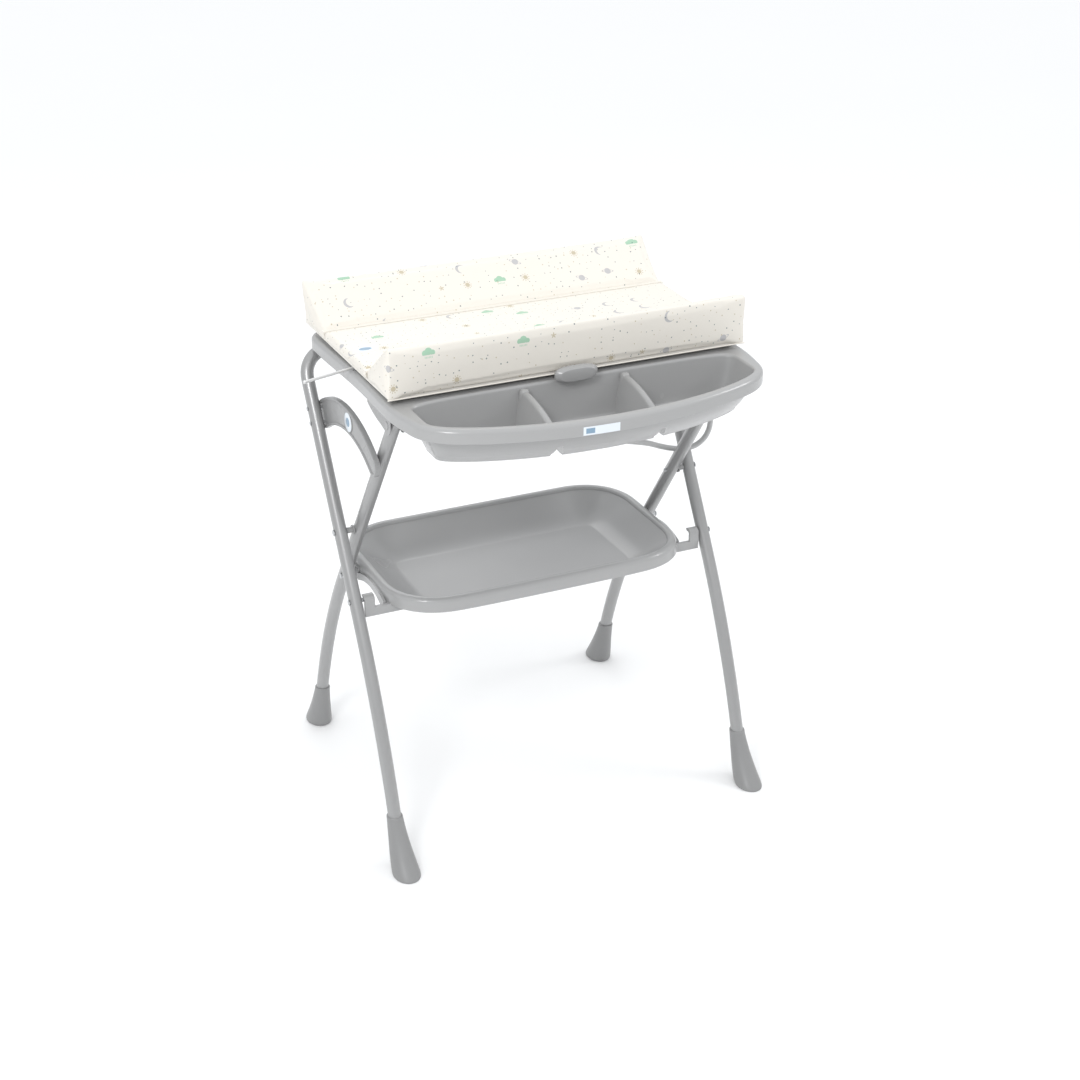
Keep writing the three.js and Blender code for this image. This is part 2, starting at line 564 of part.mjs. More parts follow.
// The grip is a bevelled lozenge that hangs from the front edge of the mat's board.
function buildMatHandle() {
  const front = MAT_FRONT - GAP - 3;
  const ring = (halfX, lowZ, highZ, y) => {
    const widest = (lowZ + highZ) / 2 - 4;
    const corners = [[-halfX + 8, lowZ], [halfX - 8, lowZ], [halfX, widest],
      [halfX - 12, highZ], [-halfX + 12, highZ], [-halfX, widest]];
    return corners.map(([x, z]) => at(x, y, z));
  };
  // rings run from the front face to the rear; loft wants them turned so that its own axis is Z
  const turned = (points) => points.map((p) => at(p.x, p.z, -p.y));
  const grip = loft([
    turned(ring(37, 915, 936, front)), turned(ring(42, 911, 940, front - 7)),
    turned(ring(40, 912, 939, front - 13)), turned(ring(33, 916, 935, front - 17))]);
  const stem = block(at(-20, front - 1, 925), at(20, MAT_FRONT - GAP, 934));
  add('mat_handle', grip.rotate([90, 0, 0]).add(stem), dark);
}

function buildMatHinge(word, side) {
  const x = side * 250;
  const axisY = RIM_REAR + 7;
  const axisZ = RIM_TOP + 2;
  const barrel = (low, high) => cylinder('x', at((low + high) / 2, axisY, axisZ), 4, high - low, 18);
  const hole = cylinder('x', at(x, axisY, axisZ), 1.8 + GAP / 2, 80, 12);
  const base = block(at(x - 10, RIM_REAR + GAP, 892), at(x + 10, RIM_REAR + 2.8, 915))
    .add(block(at(x - 10, RIM_REAR + 1, 905), at(x + 10, axisY, 914)).add(barrel(x - 10, x + 10)));
  add(`mat_hinge_base_${word}`, base.subtract(hole), dark);
  const leafTop = MAT_BASE - GAP;
  let leaf = block(at(x - 26, RIM_REAR - 32, leafTop - 2), at(x + 26, axisY, leafTop));
  for (const [low, high] of [[x - 26, x - 10.4], [x + 10.4, x + 26]]) {
    leaf = leaf.add(barrel(low, high)).add(block(at(low, axisY - 4, axisZ), at(high, axisY, leafTop)));
  }
  const clear = block(at(x - 10.4, axisY - 5, axisZ - 5), at(x + 10.4, axisY + 5, axisZ + 5.5));
  add(`mat_hinge_leaf_${word}`, leaf.subtract(clear).subtract(hole), dark);
  add(`mat_hinge_pin_${word}`, cylinder('x', at(x, axisY, axisZ), 1.8, 54, 12), zinc);
}

function buildMatBumper(word, side) {
  const x = side * MAT_BUMPER_X;
  const height = MAT_BASE - RIM_TOP - 2 * GAP;
  const foot = cylinder('z', at(x, MAT_BUMPER_Y, (RIM_TOP + MAT_BASE) / 2), 8, height, 20, 6.5);
  add(`mat_bumper_${word}`, foot.add(cylinder('z', at(x, MAT_BUMPER_Y, RIM_TOP - 1), 2, 6, 12)), dark);
}

// ---- towel bar ------------------------------------------------------------------------------------
function buildTowelBar() {
  const pivot = { x: -338, y: -26.5 };
  const z = (RIM_TOP + MAT_BASE) / 2;
  const r = 2.75;
  const heading = at(-0.96, -0.28, 0).normalize();
  const tip = at(pivot.x, pivot.y, z).addScaledVector(heading, 116);
  const line = [0.06, 0.5, 1].map((t) => at(pivot.x, pivot.y, z).lerp(tip, t));
  const ball = new THREE.SphereGeometry(3.6, 10, 6);
  ball.translate(tip.x, tip.y, tip.z);
  const eye = cylinder('z', at(pivot.x, pivot.y, z), 8, 2 * r, 24);
  const bar = sweep(line, r, 0, 12).add(solidOf(ball)).add(eye);
  add('towel_bar', bar.subtract(cylinder('z', at(pivot.x, pivot.y, z), 3 + GAP, 20, 16)), paint);
  const screw = cylinder('z', at(pivot.x, pivot.y, z - 0.6), 3, 2 * r + 2.2, 16)
    .add(cylinder('z', at(pivot.x, pivot.y, z + r + 0.9), 5.5, 1.2, 20));
  add('towel_bar_screw', screw, zinc);
}

// ---- shelf tray -----------------------------------------------------------------------------------
function trayOutline(grow = 0) {
  const corner = 118;
  const [w, f, b] = [TRAY_HALF + grow, TRAY_FRONT - grow, TRAY_REAR + grow];
  const shape = new THREE.Shape();
  shape.moveTo(-w + corner, f);
  shape.quadraticCurveTo(0, f - 8, w - corner, f);
  shape.bezierCurveTo(w - corner * 0.4, f + 3, w, f + corner * 0.4, w, f + corner);
  shape.lineTo(w, b - corner);
  shape.bezierCurveTo(w, b - corner * 0.4, w - corner * 0.4, b, w - corner, b);
  shape.lineTo(-w + corner, b);
  shape.bezierCurveTo(-w + corner * 0.4, b, -w, b - corner * 0.4, -w, b - corner);
  shape.lineTo(-w, f + corner);
  shape.bezierCurveTo(-w, f + corner * 0.4, -w + corner * 0.4, f + 3, -w + corner, f);
  return shape.getPoints(4).filter((p, i, all) => p.distanceTo(all[(i + all.length - 1) % all.length]) > 1);
}

function buildTray() {
  const outline = trayOutline();
  const slab = loft([insetRing(outline, -3, TRAY_SKIRT), insetRing(outline, 1, TRAY_TOP - 8),
    insetRing(outline, 4, TRAY_TOP - 2), insetRing(outline, 8, TRAY_TOP)]);
  const under = loft([insetRing(outline, WALL - 3.4, TRAY_SKIRT - 5),
    insetRing(outline, WALL + 1, TRAY_TOP - 9), insetRing(outline, WALL + 6, TRAY_TOP - WALL)]);
  const basin = (grow, topZ) => {
    const stations = [[TRAY_FLOOR, 92], [TRAY_FLOOR + 3, 82], [TRAY_FLOOR + 14, 62], [TRAY_TOP - 16, 30],
      [TRAY_TOP - 3, 14], [topZ, 12]];
    return loft(stations.map(([z, inset], i) => insetRing(outline, inset - grow, z - (i < 2 ? grow : 0))));
  };
  let tray = slab.subtract(under).add(basin(WALL, TRAY_TOP - 1)).subtract(basin(0, TRAY_TOP + 4));
  bothSides((word, side) => {
    tray = tray.add(trayLug(side)).add(trayHookArm(side)).add(trayRib(side));
    tray = tray.subtract(cylinder('x', at(side * 310, TRAY_PIN.y, TRAY_PIN.z), PIN_R + GAP, 60, 18));
  });
  add('shelf_tray', tray.subtract(basin(0, TRAY_TOP + 4)), plastic);
}

// The lug at the tray's end turns on the pin through the inner leg.
function trayLug(side) {
  const lug = new THREE.Shape();
  lug.absarc(TRAY_PIN.y, TRAY_PIN.z, 12, -Math.PI, 0, false);
  lug.lineTo(TRAY_PIN.y + 22, TRAY_SKIRT + 12);
  lug.lineTo(TRAY_PIN.y - 22, TRAY_SKIRT + 12);
  return plateAcross(lug, side < 0 ? -318 : 300, side < 0 ? -300 : 318);
}

// An arched rib joins the lug to the hook arm across the tray's end.
function trayRib(side) {
  const rib = new THREE.Shape();
  rib.moveTo(TRAY_PIN.y - 10, TRAY_SKIRT - 1);
  rib.quadraticCurveTo(-5, TRAY_TOP + 4, HOOK_PIN.y, TRAY_SKIRT + 5);
  rib.lineTo(HOOK_PIN.y - 8, 438);
  rib.lineTo(HOOK_PIN.y + 4, 438);
  rib.quadraticCurveTo(-5, TRAY_TOP - 6, TRAY_PIN.y - 18, 441);
  return plateAcross(rib, side < 0 ? -318 : 313, side < 0 ? -313 : 318);
}

// The hook arm reaches out from under the rim and hooks over the pin on the outer leg.
function trayHookArm(side) {
  const { y, z } = HOOK_PIN;
  const rearLip = THREE.MathUtils.degToRad(42);
  const frontLip = THREE.MathUtils.degToRad(205);
  const inner = PIN_R + 0.5;
  const outer = 11;
  const hook = new THREE.Shape();
  hook.absarc(y, z, outer, rearLip, Math.PI, false);
  hook.lineTo(y - outer, 438);
  hook.lineTo(y - inner, 438);
  hook.absarc(y, z, inner, frontLip, rearLip, true);
  const hookPlate = plateAcross(hook, side < 0 ? -358 : 338, side < 0 ? -338 : 358, 12);
  const bar = block(at(side < 0 ? -357 : 280, y - outer, 438), at(side < 0 ? -280 : 357, y - inner, 456));
  const foot = block(at(side < 0 ? -312 : 280, y - outer, 438), at(side < 0 ? -280 : 312, y + 8, 456));
  return hookPlate.add(bar).add(foot);
}

// ---- drain hose -----------------------------------------------------------------------------------
// The hose leaves the drain, dips across the scissor's crotch and is hooked up on the right of the rim.
const HOSE_ROUTE = [
  [150, -40, 737.8], [150, -40, 734], [152, -40, 720.3], [158.2, -40, 707.9], [167.8, -40, 697.9],
  [180, -39, 691.2], [197, -37, 685], [215, -33, 678.5], [245, -24, 667.5], [275, -13, 655], [305, -3, 640],
  [335, 3, 628], [362, 1, 623.5], [386, -4, 629], [402, -8, 643], [411, -10, 662], [413, -11, 686],
  [410, -12, 714], [404, -12, 747], [396, -12, 780], [385, -12, 812], [376.4, -12, 836.5],
  [373.8, -12, 846], [373, -12, 854], [373, -12, 858],
];

function buildHose() {
  const stations = HOSE_ROUTE.map((p) => at(...p));
  const points = new THREE.CatmullRomCurve3(stations, false, 'centripetal').getPoints(48);
  add('drain_hose', sweep(points, HOSE_R, 0, 8), hosePlastic);
  const [x, y, z] = HOSE_ROUTE.at(-1);
  const capHeight = 22.4;
  const cap = cylinder('z', at(x, y, z + GAP + capHeight / 2), 7.5, capHeight, 20, 6.5);
  add('hose_end_plug', cap.add(cylinder('z', at(x, y, z + capHeight + 1), 4, 4, 14)), dark);
  const skirtX = 350.6;
  const ringBase = z + 2;
  const ringTop = z + 16;
  const clip = block(at(skirtX, y - 9, ringBase), at(x - 4, y + 9, ringTop))
    .add(cylinder('z', at(x, y, (ringBase + ringTop) / 2), 10.5, ringTop - ringBase, 24))
    .subtract(cylinder('z', at(x, y, z + 11), 7.9, 30, 24))
    .subtract(block(at(x + 4, y - 5, z - 2), at(x + 14, y + 5, z + 30)));
  add('hose_clip', clip, plastic);
}

buildCrossTubes();
bothSides(buildLegs);
bothSides(buildFramePins);
buildGuideArm();
buildTub();
bothSides(buildTubBracket);
bothSides(buildSaddle);
buildDrain();
buildMat();
buildMatHandle();
bothSides(buildMatHinge);
bothSides(buildMatBumper);
buildTowelBar();
buildTray();
buildHose();

table.position.set(SHIFT_X, SHIFT_Y, 0);
export default table;
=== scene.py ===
import json
import math

import bmesh
import bpy
import numpy as np
from mathutils import Matrix, Vector


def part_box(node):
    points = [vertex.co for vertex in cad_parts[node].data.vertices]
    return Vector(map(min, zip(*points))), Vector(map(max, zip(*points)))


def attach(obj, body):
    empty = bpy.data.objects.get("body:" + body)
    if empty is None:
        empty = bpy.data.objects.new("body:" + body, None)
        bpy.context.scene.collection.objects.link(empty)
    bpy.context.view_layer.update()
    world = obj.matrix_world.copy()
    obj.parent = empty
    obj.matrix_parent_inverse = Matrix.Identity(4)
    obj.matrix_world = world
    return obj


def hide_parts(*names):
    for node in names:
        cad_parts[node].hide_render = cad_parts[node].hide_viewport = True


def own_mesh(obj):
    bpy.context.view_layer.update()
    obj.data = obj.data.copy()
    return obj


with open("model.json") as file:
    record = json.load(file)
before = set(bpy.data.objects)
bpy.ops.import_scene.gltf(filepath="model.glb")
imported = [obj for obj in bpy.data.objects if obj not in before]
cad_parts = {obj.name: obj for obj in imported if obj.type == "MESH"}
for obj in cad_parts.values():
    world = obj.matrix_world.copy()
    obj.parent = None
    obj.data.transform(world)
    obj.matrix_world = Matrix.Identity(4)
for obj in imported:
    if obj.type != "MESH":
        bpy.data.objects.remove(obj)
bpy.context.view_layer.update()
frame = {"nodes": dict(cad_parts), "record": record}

MM = 0.001
JOINTS = {joint["name"]: joint for joint in frame["record"]["behaviour"]["joints"]}
PIVOT = np.array(JOINTS["frame_fold"]["pos_m"])
ORIGIN = np.array([PIVOT[0], PIVOT[1], 0])
TUB_HINGE = (np.array(JOINTS["tub_tilt"]["pos_m"]) - ORIGIN) / MM
PIVOT_Z = PIVOT[2] / MM


def cad(node):
    """A CAD node's lowest and highest corner in millimetres, about the scissor pivots."""
    low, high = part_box(node)
    return (np.array(low) - ORIGIN) / MM, (np.array(high) - ORIGIN) / MM


def row(point):
    """A point of this script's millimetres in the row frame's metres."""
    return np.asarray(point, float) * MM + ORIGIN


# ---- camera ---------------------------------------------------------------------------------------
def make_camera():
    position = (-1.4421, -3.1035, 2.2069)
    azimuth, elevation, roll = (math.radians(a) for a in (-25.71, 26.58, 0.69))
    back = Vector((math.sin(azimuth) * math.cos(elevation), -math.cos(azimuth) * math.cos(elevation),
                   math.sin(elevation)))
    level_right = (-back).cross(Vector((0, 0, 1))).normalized()
    level_up = level_right.cross(-back)
    right = math.cos(roll) * level_right + math.sin(roll) * level_up
    up = -math.sin(roll) * level_right + math.cos(roll) * level_up
    data = bpy.data.cameras.new("camera")
    data.lens = 65.67
    data.sensor_width = 36
    data.shift_y = 0.0111
    data.clip_end = 200
    camera = bpy.data.objects.new("camera", data)
    turn = Matrix((right, up, back)).transposed().to_4x4()
    camera.matrix_world = Matrix.Translation(position) @ turn
    bpy.context.scene.collection.objects.link(camera)
    bpy.context.scene.camera = camera


make_camera()


# ---- mesh helpers ---------------------------------------------------------------------------------
def make_object(name, points, faces):
    mesh = bpy.data.meshes.new(name)
    mesh.from_pydata(row(points).tolist(), [], faces)
    work = bmesh.new()
    work.from_mesh(mesh)
    bmesh.ops.recalc_face_normals(work, faces=work.faces)
    work.to_mesh(mesh)
    work.free()
    obj = bpy.data.objects.new(name, mesh)
    bpy.context.scene.collection.objects.link(obj)
    return obj


def loft(name, rings):
    """A skin through rings of the same number of points, capped at both ends."""
    count = len(rings[0])
    faces = []
    for r in range(len(rings) - 1):
        low, high = r * count, (r + 1) * count
        for i in range(count):
            j = (i + 1) % count
            faces.append((low + i, low + j, high + j, high + i))
    faces.append(tuple(range(count)))
    faces.append(tuple(range((len(rings) - 1) * count, len(rings) * count)))
    return make_object(name, np.concatenate(rings), faces)


def sweep_rings(path, radius, sides=28):
    path = np.asarray(path, float)
    step = np.diff(path, axis=0)
    step /= np.linalg.norm(step, axis=1)[:, None]
    tangent = np.vstack([step[:1], step[:-1] + step[1:], step[-1:]])
    tangent /= np.linalg.norm(tangent, axis=1)[:, None]
    across = np.cross(tangent[0], [0.31, 0.2, 0.93])
    angle = np.linspace(0, 2 * np.pi, sides, endpoint=False)[:, None]
    rings = []
    for centre, along in zip(path, tangent):
        across = across - along * (across @ along)
        across /= np.linalg.norm(across)
        rings.append(centre + radius * (np.cos(angle) * across + np.sin(angle) * np.cross(along, across)))
    return rings


def catmull_rom(points, per_span):
    """Centripetal Catmull-Rom samples through rows of numbers."""
    p = np.asarray(points, float)
    p = np.vstack([2 * p[0] - p[1], p, 2 * p[-1] - p[-2]])
    out = []
    for a, b, c, d in zip(p, p[1:], p[2:], p[3:]):
        gaps = [max(np.linalg.norm(v - u) ** 0.5, 1e-6) for u, v in ((a, b), (b, c), (c, d))]
        t0, t1 = 0, gaps[0]
        t2, t3 = t1 + gaps[1], t1 + gaps[1] + gaps[2]
        for t in np.linspace(t1, t2, per_span, endpoint=False):
            ab = (t1 - t) / (t1 - t0) * a + (t - t0) / (t1 - t0) * b
            bc = (t2 - t) / (t2 - t1) * b + (t - t1) / (t2 - t1) * c
            cd = (t3 - t) / (t3 - t2) * c + (t - t2) / (t3 - t2) * d
            abc = (t2 - t) / (t2 - t0) * ab + (t - t0) / (t2 - t0) * bc
            bcd = (t3 - t) / (t3 - t1) * bc + (t - t1) / (t3 - t1) * cd
            out.append((t2 - t) / (t2 - t1) * abc + (t - t1) / (t2 - t1) * bcd)
    out.append(p[-2])
    return np.array(out)


def bezier(p0, p1, p2, p3, count=14):
    t = np.linspace(0, 1, count, endpoint=False)[:, None]
    p0, p1, p2, p3 = (np.array(p, float) for p in (p0, p1, p2, p3))
    return (1 - t) ** 3 * p0 + 3 * (1 - t) ** 2 * t * p1 + 3 * (1 - t) * t ** 2 * p2 + t ** 3 * p3


def quadratic(p0, p1, p2, count=14):
    p0, p1, p2 = (np.array(p, float) for p in (p0, p1, p2))
    return bezier(p0, p0 + (p1 - p0) * 2 / 3, p2 + (p1 - p2) * 2 / 3, p2, count)


def arc(centre, radius, start, end, count=14):
    a = np.linspace(start, end, count)
    return np.stack([centre[0] + radius * np.cos(a), centre[1] + radius * np.sin(a)], axis=1)


def circle(centre, radius, count):
    return arc(centre, radius, 0, 2 * math.pi, count + 1)[:-1]


def even_ring(ring, count):
    """The closed ring again with evenly spaced points."""
    loop = np.vstack([ring, ring[:1]])
    run = np.concatenate([[0], np.cumsum(np.linalg.norm(np.diff(loop, axis=0), axis=1))])
    want = np.linspace(0, run[-1], count, endpoint=False)
    return np.stack([np.interp(want, run, loop[:, k]) for k in range(loop.shape[1])], axis=1)


def inset(outline, distance, z):
    along = np.roll(outline, -1, axis=0) - np.roll(outline, 1, axis=0)
    along /= np.linalg.norm(along, axis=1)[:, None]
    moved = outline + distance * np.stack([-along[:, 1], along[:, 0]], axis=1)
    return np.column_stack([moved, np.full(len(moved), z)])


def boolean(obj, other, operation):
    """Applies a boolean with other, which is used up."""
    modifier = obj.modifiers.new("boolean", "BOOLEAN")
    modifier.solver = "MANIFOLD"
    modifier.operation = operation
    modifier.object = other
    evaluated = obj.evaluated_get(bpy.context.evaluated_depsgraph_get())
    mesh = bpy.data.meshes.new_from_object(evaluated)
    obj.modifiers.clear()
    obj.data = mesh
    bpy.data.objects.remove(other)
    return obj


def shade(obj, angle=32):
    obj.data.shade_smooth()
    obj.data.set_sharp_from_angle(angle=math.radians(angle))


def even_normals(obj):
    """Lets the large faces of a moulding lead its shading."""
    weighted = obj.modifiers.new("even_normals", "WEIGHTED_NORMAL")
    weighted.keep_sharp = True


def fit(obj, material, slot, body, *nodes, angle=32):
    """Finishes a piece: shading, material, the nodes it stands for and the body it rides on."""
    shade(obj, angle)
    obj.data.materials.clear()
    obj.data.materials.append(material)
    if nodes:
        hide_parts(*nodes)
    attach(obj, body)
    return obj


# ---- materials ------------------------------------------------------------------------------------
class Field:
    """A number that varies over a surface. Arithmetic on it adds Math nodes to its tree."""

    def __init__(self, tree, socket):
        self.tree = tree
        self.socket = socket

    def math(self, operation, *others):
        node = self.tree.nodes.new("ShaderNodeMath")
        node.operation = operation
        for slot_in, value in zip(node.inputs, (self, *others)):
            if isinstance(value, Field):
                self.tree.links.new(value.socket, slot_in)
            else:
                slot_in.default_value = value
        return Field(self.tree, node.outputs[0])

    def __add__(self, other): return self.math("ADD", other)
    def __sub__(self, other): return self.math("SUBTRACT", other)
    def __mul__(self, other): return self.math("MULTIPLY", other)
    def under(self, limit): return self.math("LESS_THAN", limit)
    def over(self, limit): return self.math("GREATER_THAN", limit)
    def most(self, other): return self.math("MAXIMUM", other)


class Surface:
    """A material around one Principled shader, with the few node patterns that the pieces use."""

    def __init__(self, name, rough, metallic=0.0, coat=0.0):
        self.material = bpy.data.materials.new(name)
        self.material.use_nodes = True
        self.tree = self.material.node_tree
        self.shader = self.tree.nodes["Principled BSDF"]
        self.shader.inputs["Roughness"].default_value = rough
        self.shader.inputs["Metallic"].default_value = metallic
        self.shader.inputs["Coat Weight"].default_value = coat
        self.shader.inputs["Coat Roughness"].default_value = 0.12
        self.place = self.tree.nodes.new("ShaderNodeTexCoord").outputs["Object"]

    def noise(self, scale, detail=3.0, stretch=None):
        node = self.tree.nodes.new("ShaderNodeTexNoise")
        node.inputs["Scale"].default_value = scale
        node.inputs["Detail"].default_value = detail
        source = self.place
        if stretch:
            mapping = self.tree.nodes.new("ShaderNodeMapping")
            mapping.inputs["Scale"].default_value = stretch
            self.tree.links.new(source, mapping.inputs["Vector"])
            source = mapping.outputs[0]
        self.tree.links.new(source, node.inputs["Vector"])
        return Field(self.tree, node.outputs["Fac"])

    def mix(self, factor, first, second):
        node = self.tree.nodes.new("ShaderNodeMix")
        node.data_type = "RGBA"
        self.tree.links.new(factor.socket, node.inputs["Factor"])
        for socket, value in ((node.inputs[6], first), (node.inputs[7], second)):
            if isinstance(value, tuple):
                socket.default_value = (*value, 1)
            else:
                self.tree.links.new(value, socket)
        return node.outputs[2]

    def ramp(self, field, low, high, start, end):
        node = self.tree.nodes.new("ShaderNodeMapRange")
        for key, value in (("From Min", low), ("From Max", high), ("To Min", start), ("To Max", end)):
            node.inputs[key].default_value = value
        self.tree.links.new(field.socket, node.inputs["Value"])
        return Field(self.tree, node.outputs[0])

    def link(self, socket, name):
        self.tree.links.new(socket, self.shader.inputs[name])

    def bump(self, *layers):
        """layers are (field, height in metres), coarse first."""
        normal = None
        for field, height in layers:
            node = self.tree.nodes.new("ShaderNodeBump")
            node.inputs["Strength"].default_value = 1
            node.inputs["Distance"].default_value = height
            self.tree.links.new(field.socket, node.inputs["Height"])
            if normal:
                self.tree.links.new(normal, node.inputs["Normal"])
            normal = node.outputs[0]
        self.link(normal, "Normal")


def tint(colour, factor):
    return tuple(min(c * factor, 1) for c in colour)


def painted_metal(name, colour):
    s = Surface(name, 0.34, metallic=0.4, coat=0.3)
    s.link(s.mix(s.noise(9), tint(colour, 0.95), tint(colour, 1.05)), "Base Color")
    s.link(s.ramp(s.noise(12, 1), 0.2, 0.8, 0.31, 0.37).socket, "Roughness")
    s.bump((s.noise(220, 1), 0.000008))
    return s.material


def moulded_plastic(name, colour, low_rough, high_rough, grain, coat=0.25):
    s = Surface(name, low_rough, coat=coat)
    flow = s.noise(5, 2, stretch=(1, 1, 2.4))
    s.link(s.mix(flow, tint(colour, 0.965), tint(colour, 1.03)), "Base Color")
    s.link(s.ramp(s.noise(10, 1), 0.2, 0.8, low_rough, high_rough).socket, "Roughness")
    s.bump((s.noise(9, 0), 0.0002), (s.noise(260, 1), grain))
    return s.material


def zinc_plate(name):
    s = Surface(name, 0.3, metallic=1.0)
    s.link(s.mix(s.noise(220, 4), (0.42, 0.43, 0.44), (0.62, 0.63, 0.64)), "Base Color")
    s.link(s.ramp(s.noise(90, 4), 0.3, 0.7, 0.2, 0.42).socket, "Roughness")
    s.bump((s.noise(900, 2, stretch=(1, 6, 6)), 0.00002))
    return s.material


def soft_rubber(name):
    s = Surface(name, 0.8)
    s.link(s.mix(s.noise(60), (0.055, 0.055, 0.055), (0.085, 0.085, 0.085)), "Base Color")
    s.bump((s.noise(1400, 3), 0.00006))
    return s.material


PRINT_GREY = (0.44, 0.44, 0.46)
PRINT_SAND = (0.50, 0.43, 0.29)
PRINT_GREEN = (0.27, 0.53, 0.36)
CREAM = (0.80, 0.765, 0.70)


def night_sky_vinyl(name, printed=True):
    """Cream vinyl with sparse generic motifs, one in each cell of a jittered grid, and tiny dots."""
    s = Surface(name, 0.46, coat=0.12)
    tree = s.tree
    print_at = tree.nodes.new("ShaderNodeAttribute")
    print_at.attribute_name = "print_at"
    base = s.mix(s.noise(7), tint(CREAM, 0.985), tint(CREAM, 1.01))

    def cells(spacing, jitter):
        """Distances in millimetres from each cell's own centre, and two random numbers for the cell."""
        node = tree.nodes.new("ShaderNodeTexVoronoi")
        node.voronoi_dimensions = "2D"
        node.inputs["Scale"].default_value = 1 / spacing
        node.inputs["Randomness"].default_value = jitter
        tree.links.new(print_at.outputs["Vector"], node.inputs["Vector"])
        offset = tree.nodes.new("ShaderNodeVectorMath")
        offset.operation = "SUBTRACT"
        tree.links.new(print_at.outputs["Vector"], offset.inputs[0])
        tree.links.new(node.outputs["Position"], offset.inputs[1])
        apart = tree.nodes.new("ShaderNodeSeparateXYZ")
        tree.links.new(offset.outputs[0], apart.inputs[0])
        chance = tree.nodes.new("ShaderNodeSeparateColor")
        tree.links.new(node.outputs["Color"], chance.inputs[0])
        x, y = (Field(tree, apart.outputs[k]) for k in (0, 1))
        return x, y, Field(tree, chance.outputs[0]), Field(tree, chance.outputs[1])

    def length(x, y):
        return (x * x + y * y).math("SQRT")

    if printed:
        x, y, kind, turn = cells(60, 0.55)
        spin = turn * 1.2 - 0.6
        cosine, sine = spin.math("COSINE"), spin.math("SINE")
        u, v = x * cosine + y * sine, y * cosine - x * sine
        r = length(x, y)
        petals = (y.math("ARCTAN2", x) * 10 + 0.6).math("SINE")
        points = (v.math("ARCTAN2", u) * 5).math("COSINE")
        ring = (length(u, v * 3.6) - 11.5).math("ABSOLUTE").under(1.1)
        planet = r.under(6.6).most(ring)
        crescent = r.under(10.5) * length(u - 4.2, v).over(9.2)
        sun = r.under(4.6).most(petals.over(0.55) * r.over(5.6) * r.under(8.6))
        star = (r - points * 2.0).under(3.4)
        puffs = length(x + 7, y).under(5.2).most(length(x, y - 2.6).under(6.6)).most(length(x - 7.4, y).under(4.8))
        rain = (x.math("PINGPONG", 2.6) - 1.3).math("ABSOLUTE").under(0.5) * (y + 8).math("ABSOLUTE").under(1.7)
        cloud = (puffs * y.over(-3.6)).most(rain * x.math("ABSOLUTE").under(8))
        motifs = [(planet, PRINT_GREY, 0.20), (crescent, PRINT_GREY, 0.32), (sun, PRINT_SAND, 0.42),
                  (star, PRINT_SAND, 0.54), (cloud, PRINT_GREEN, 0.64)]
        ends = [m[2] for m in motifs[1:]] + [0.74]
        for (mask, ink, start), end in zip(motifs, ends):
            chosen = mask * kind.over(start) * kind.under(end)
            base = s.mix(chosen * 0.82, base, ink)
        x, y, kind, size = cells(13, 0.95)
        dot = (length(x, y) - size * 0.6).under(0.75) * kind.under(0.5)
        ink = s.mix(kind.under(0.28), PRINT_SAND, (0.05, 0.10, 0.12))
        base = s.mix(dot * 0.85, base, ink)
    s.link(base, "Base Color")
    s.link(s.ramp(s.noise(18), 0.3, 0.7, 0.40, 0.54).socket, "Roughness")
    s.bump((s.noise(7, 2, stretch=(1, 2.2, 2.2)), 0.0016), (s.noise(30, 2), 0.0004), (s.noise(1100, 2), 0.00005))
    return s.material


FRAME_GREY = (0.36, 0.36, 0.36)
TUB_GREY = (0.375, 0.375, 0.375)
paint = painted_metal("frame_paint", FRAME_GREY)
plastic = moulded_plastic("grey_moulding", TUB_GREY, 0.22, 0.28, 0.000002)
boot_plastic = moulded_plastic("boot_plastic", (0.27, 0.27, 0.27), 0.36, 0.46, 0.000012, coat=0.1)
dark_plastic = moulded_plastic("dark_grey_plastic", (0.29, 0.29, 0.29), 0.24, 0.32, 0.000004)
handle_plastic = moulded_plastic("handle_plastic", (0.36, 0.36, 0.36), 0.2, 0.27, 0.000002)
hose_plastic = moulded_plastic("hose_plastic", (0.46, 0.46, 0.46), 0.36, 0.46, 0.00001, coat=0.1)
board_plastic = moulded_plastic("white_board", (0.82, 0.79, 0.74), 0.4, 0.5, 0.00002, coat=0.0)
label_film = moulded_plastic("label_white", (0.76, 0.81, 0.86), 0.3, 0.36, 0.000002)
label_blue = moulded_plastic("label_blue", (0.22, 0.34, 0.46), 0.3, 0.36, 0.000002)
bright_paint = painted_metal("bar_paint", (0.62, 0.62, 0.62))
zinc = zinc_plate("zinc_fastener")
rubber = soft_rubber("bumper_rubber")
vinyl = night_sky_vinyl("printed_mat_cover")
plain_vinyl = night_sky_vinyl("mat_piping", printed=False)

# ---- drain hose -----------------------------------------------------------------------------------
HOSE_ROUTE = [
    (150, -40, 737.8), (150, -40, 734), (152, -40, 720.3), (158.2, -40, 707.9), (167.8, -40, 697.9),
    (180, -39, 691.2), (197, -37, 685), (215, -33, 678.5), (245, -24, 667.5), (275, -13, 655), (305, -3, 640),
    (335, 3, 628), (362, 1, 623.5), (386, -4, 629), (402, -8, 643), (411, -10, 662), (413, -11, 686),
    (410, -12, 714), (404, -12, 747), (396, -12, 780), (385, -12, 812), (376.4, -12, 836.5),
    (373.8, -12, 846), (373, -12, 854), (373, -12, 858),
]
HOSE_R = 5.5


def make_hose():
    path = catmull_rom(HOSE_ROUTE, 6)
    hose = loft("drain_hose_tube", sweep_rings(path, HOSE_R, 24))
    fit(hose, hose_plastic, "hose_plastic", "tub", "drain_hose")
    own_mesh(hose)


make_hose()

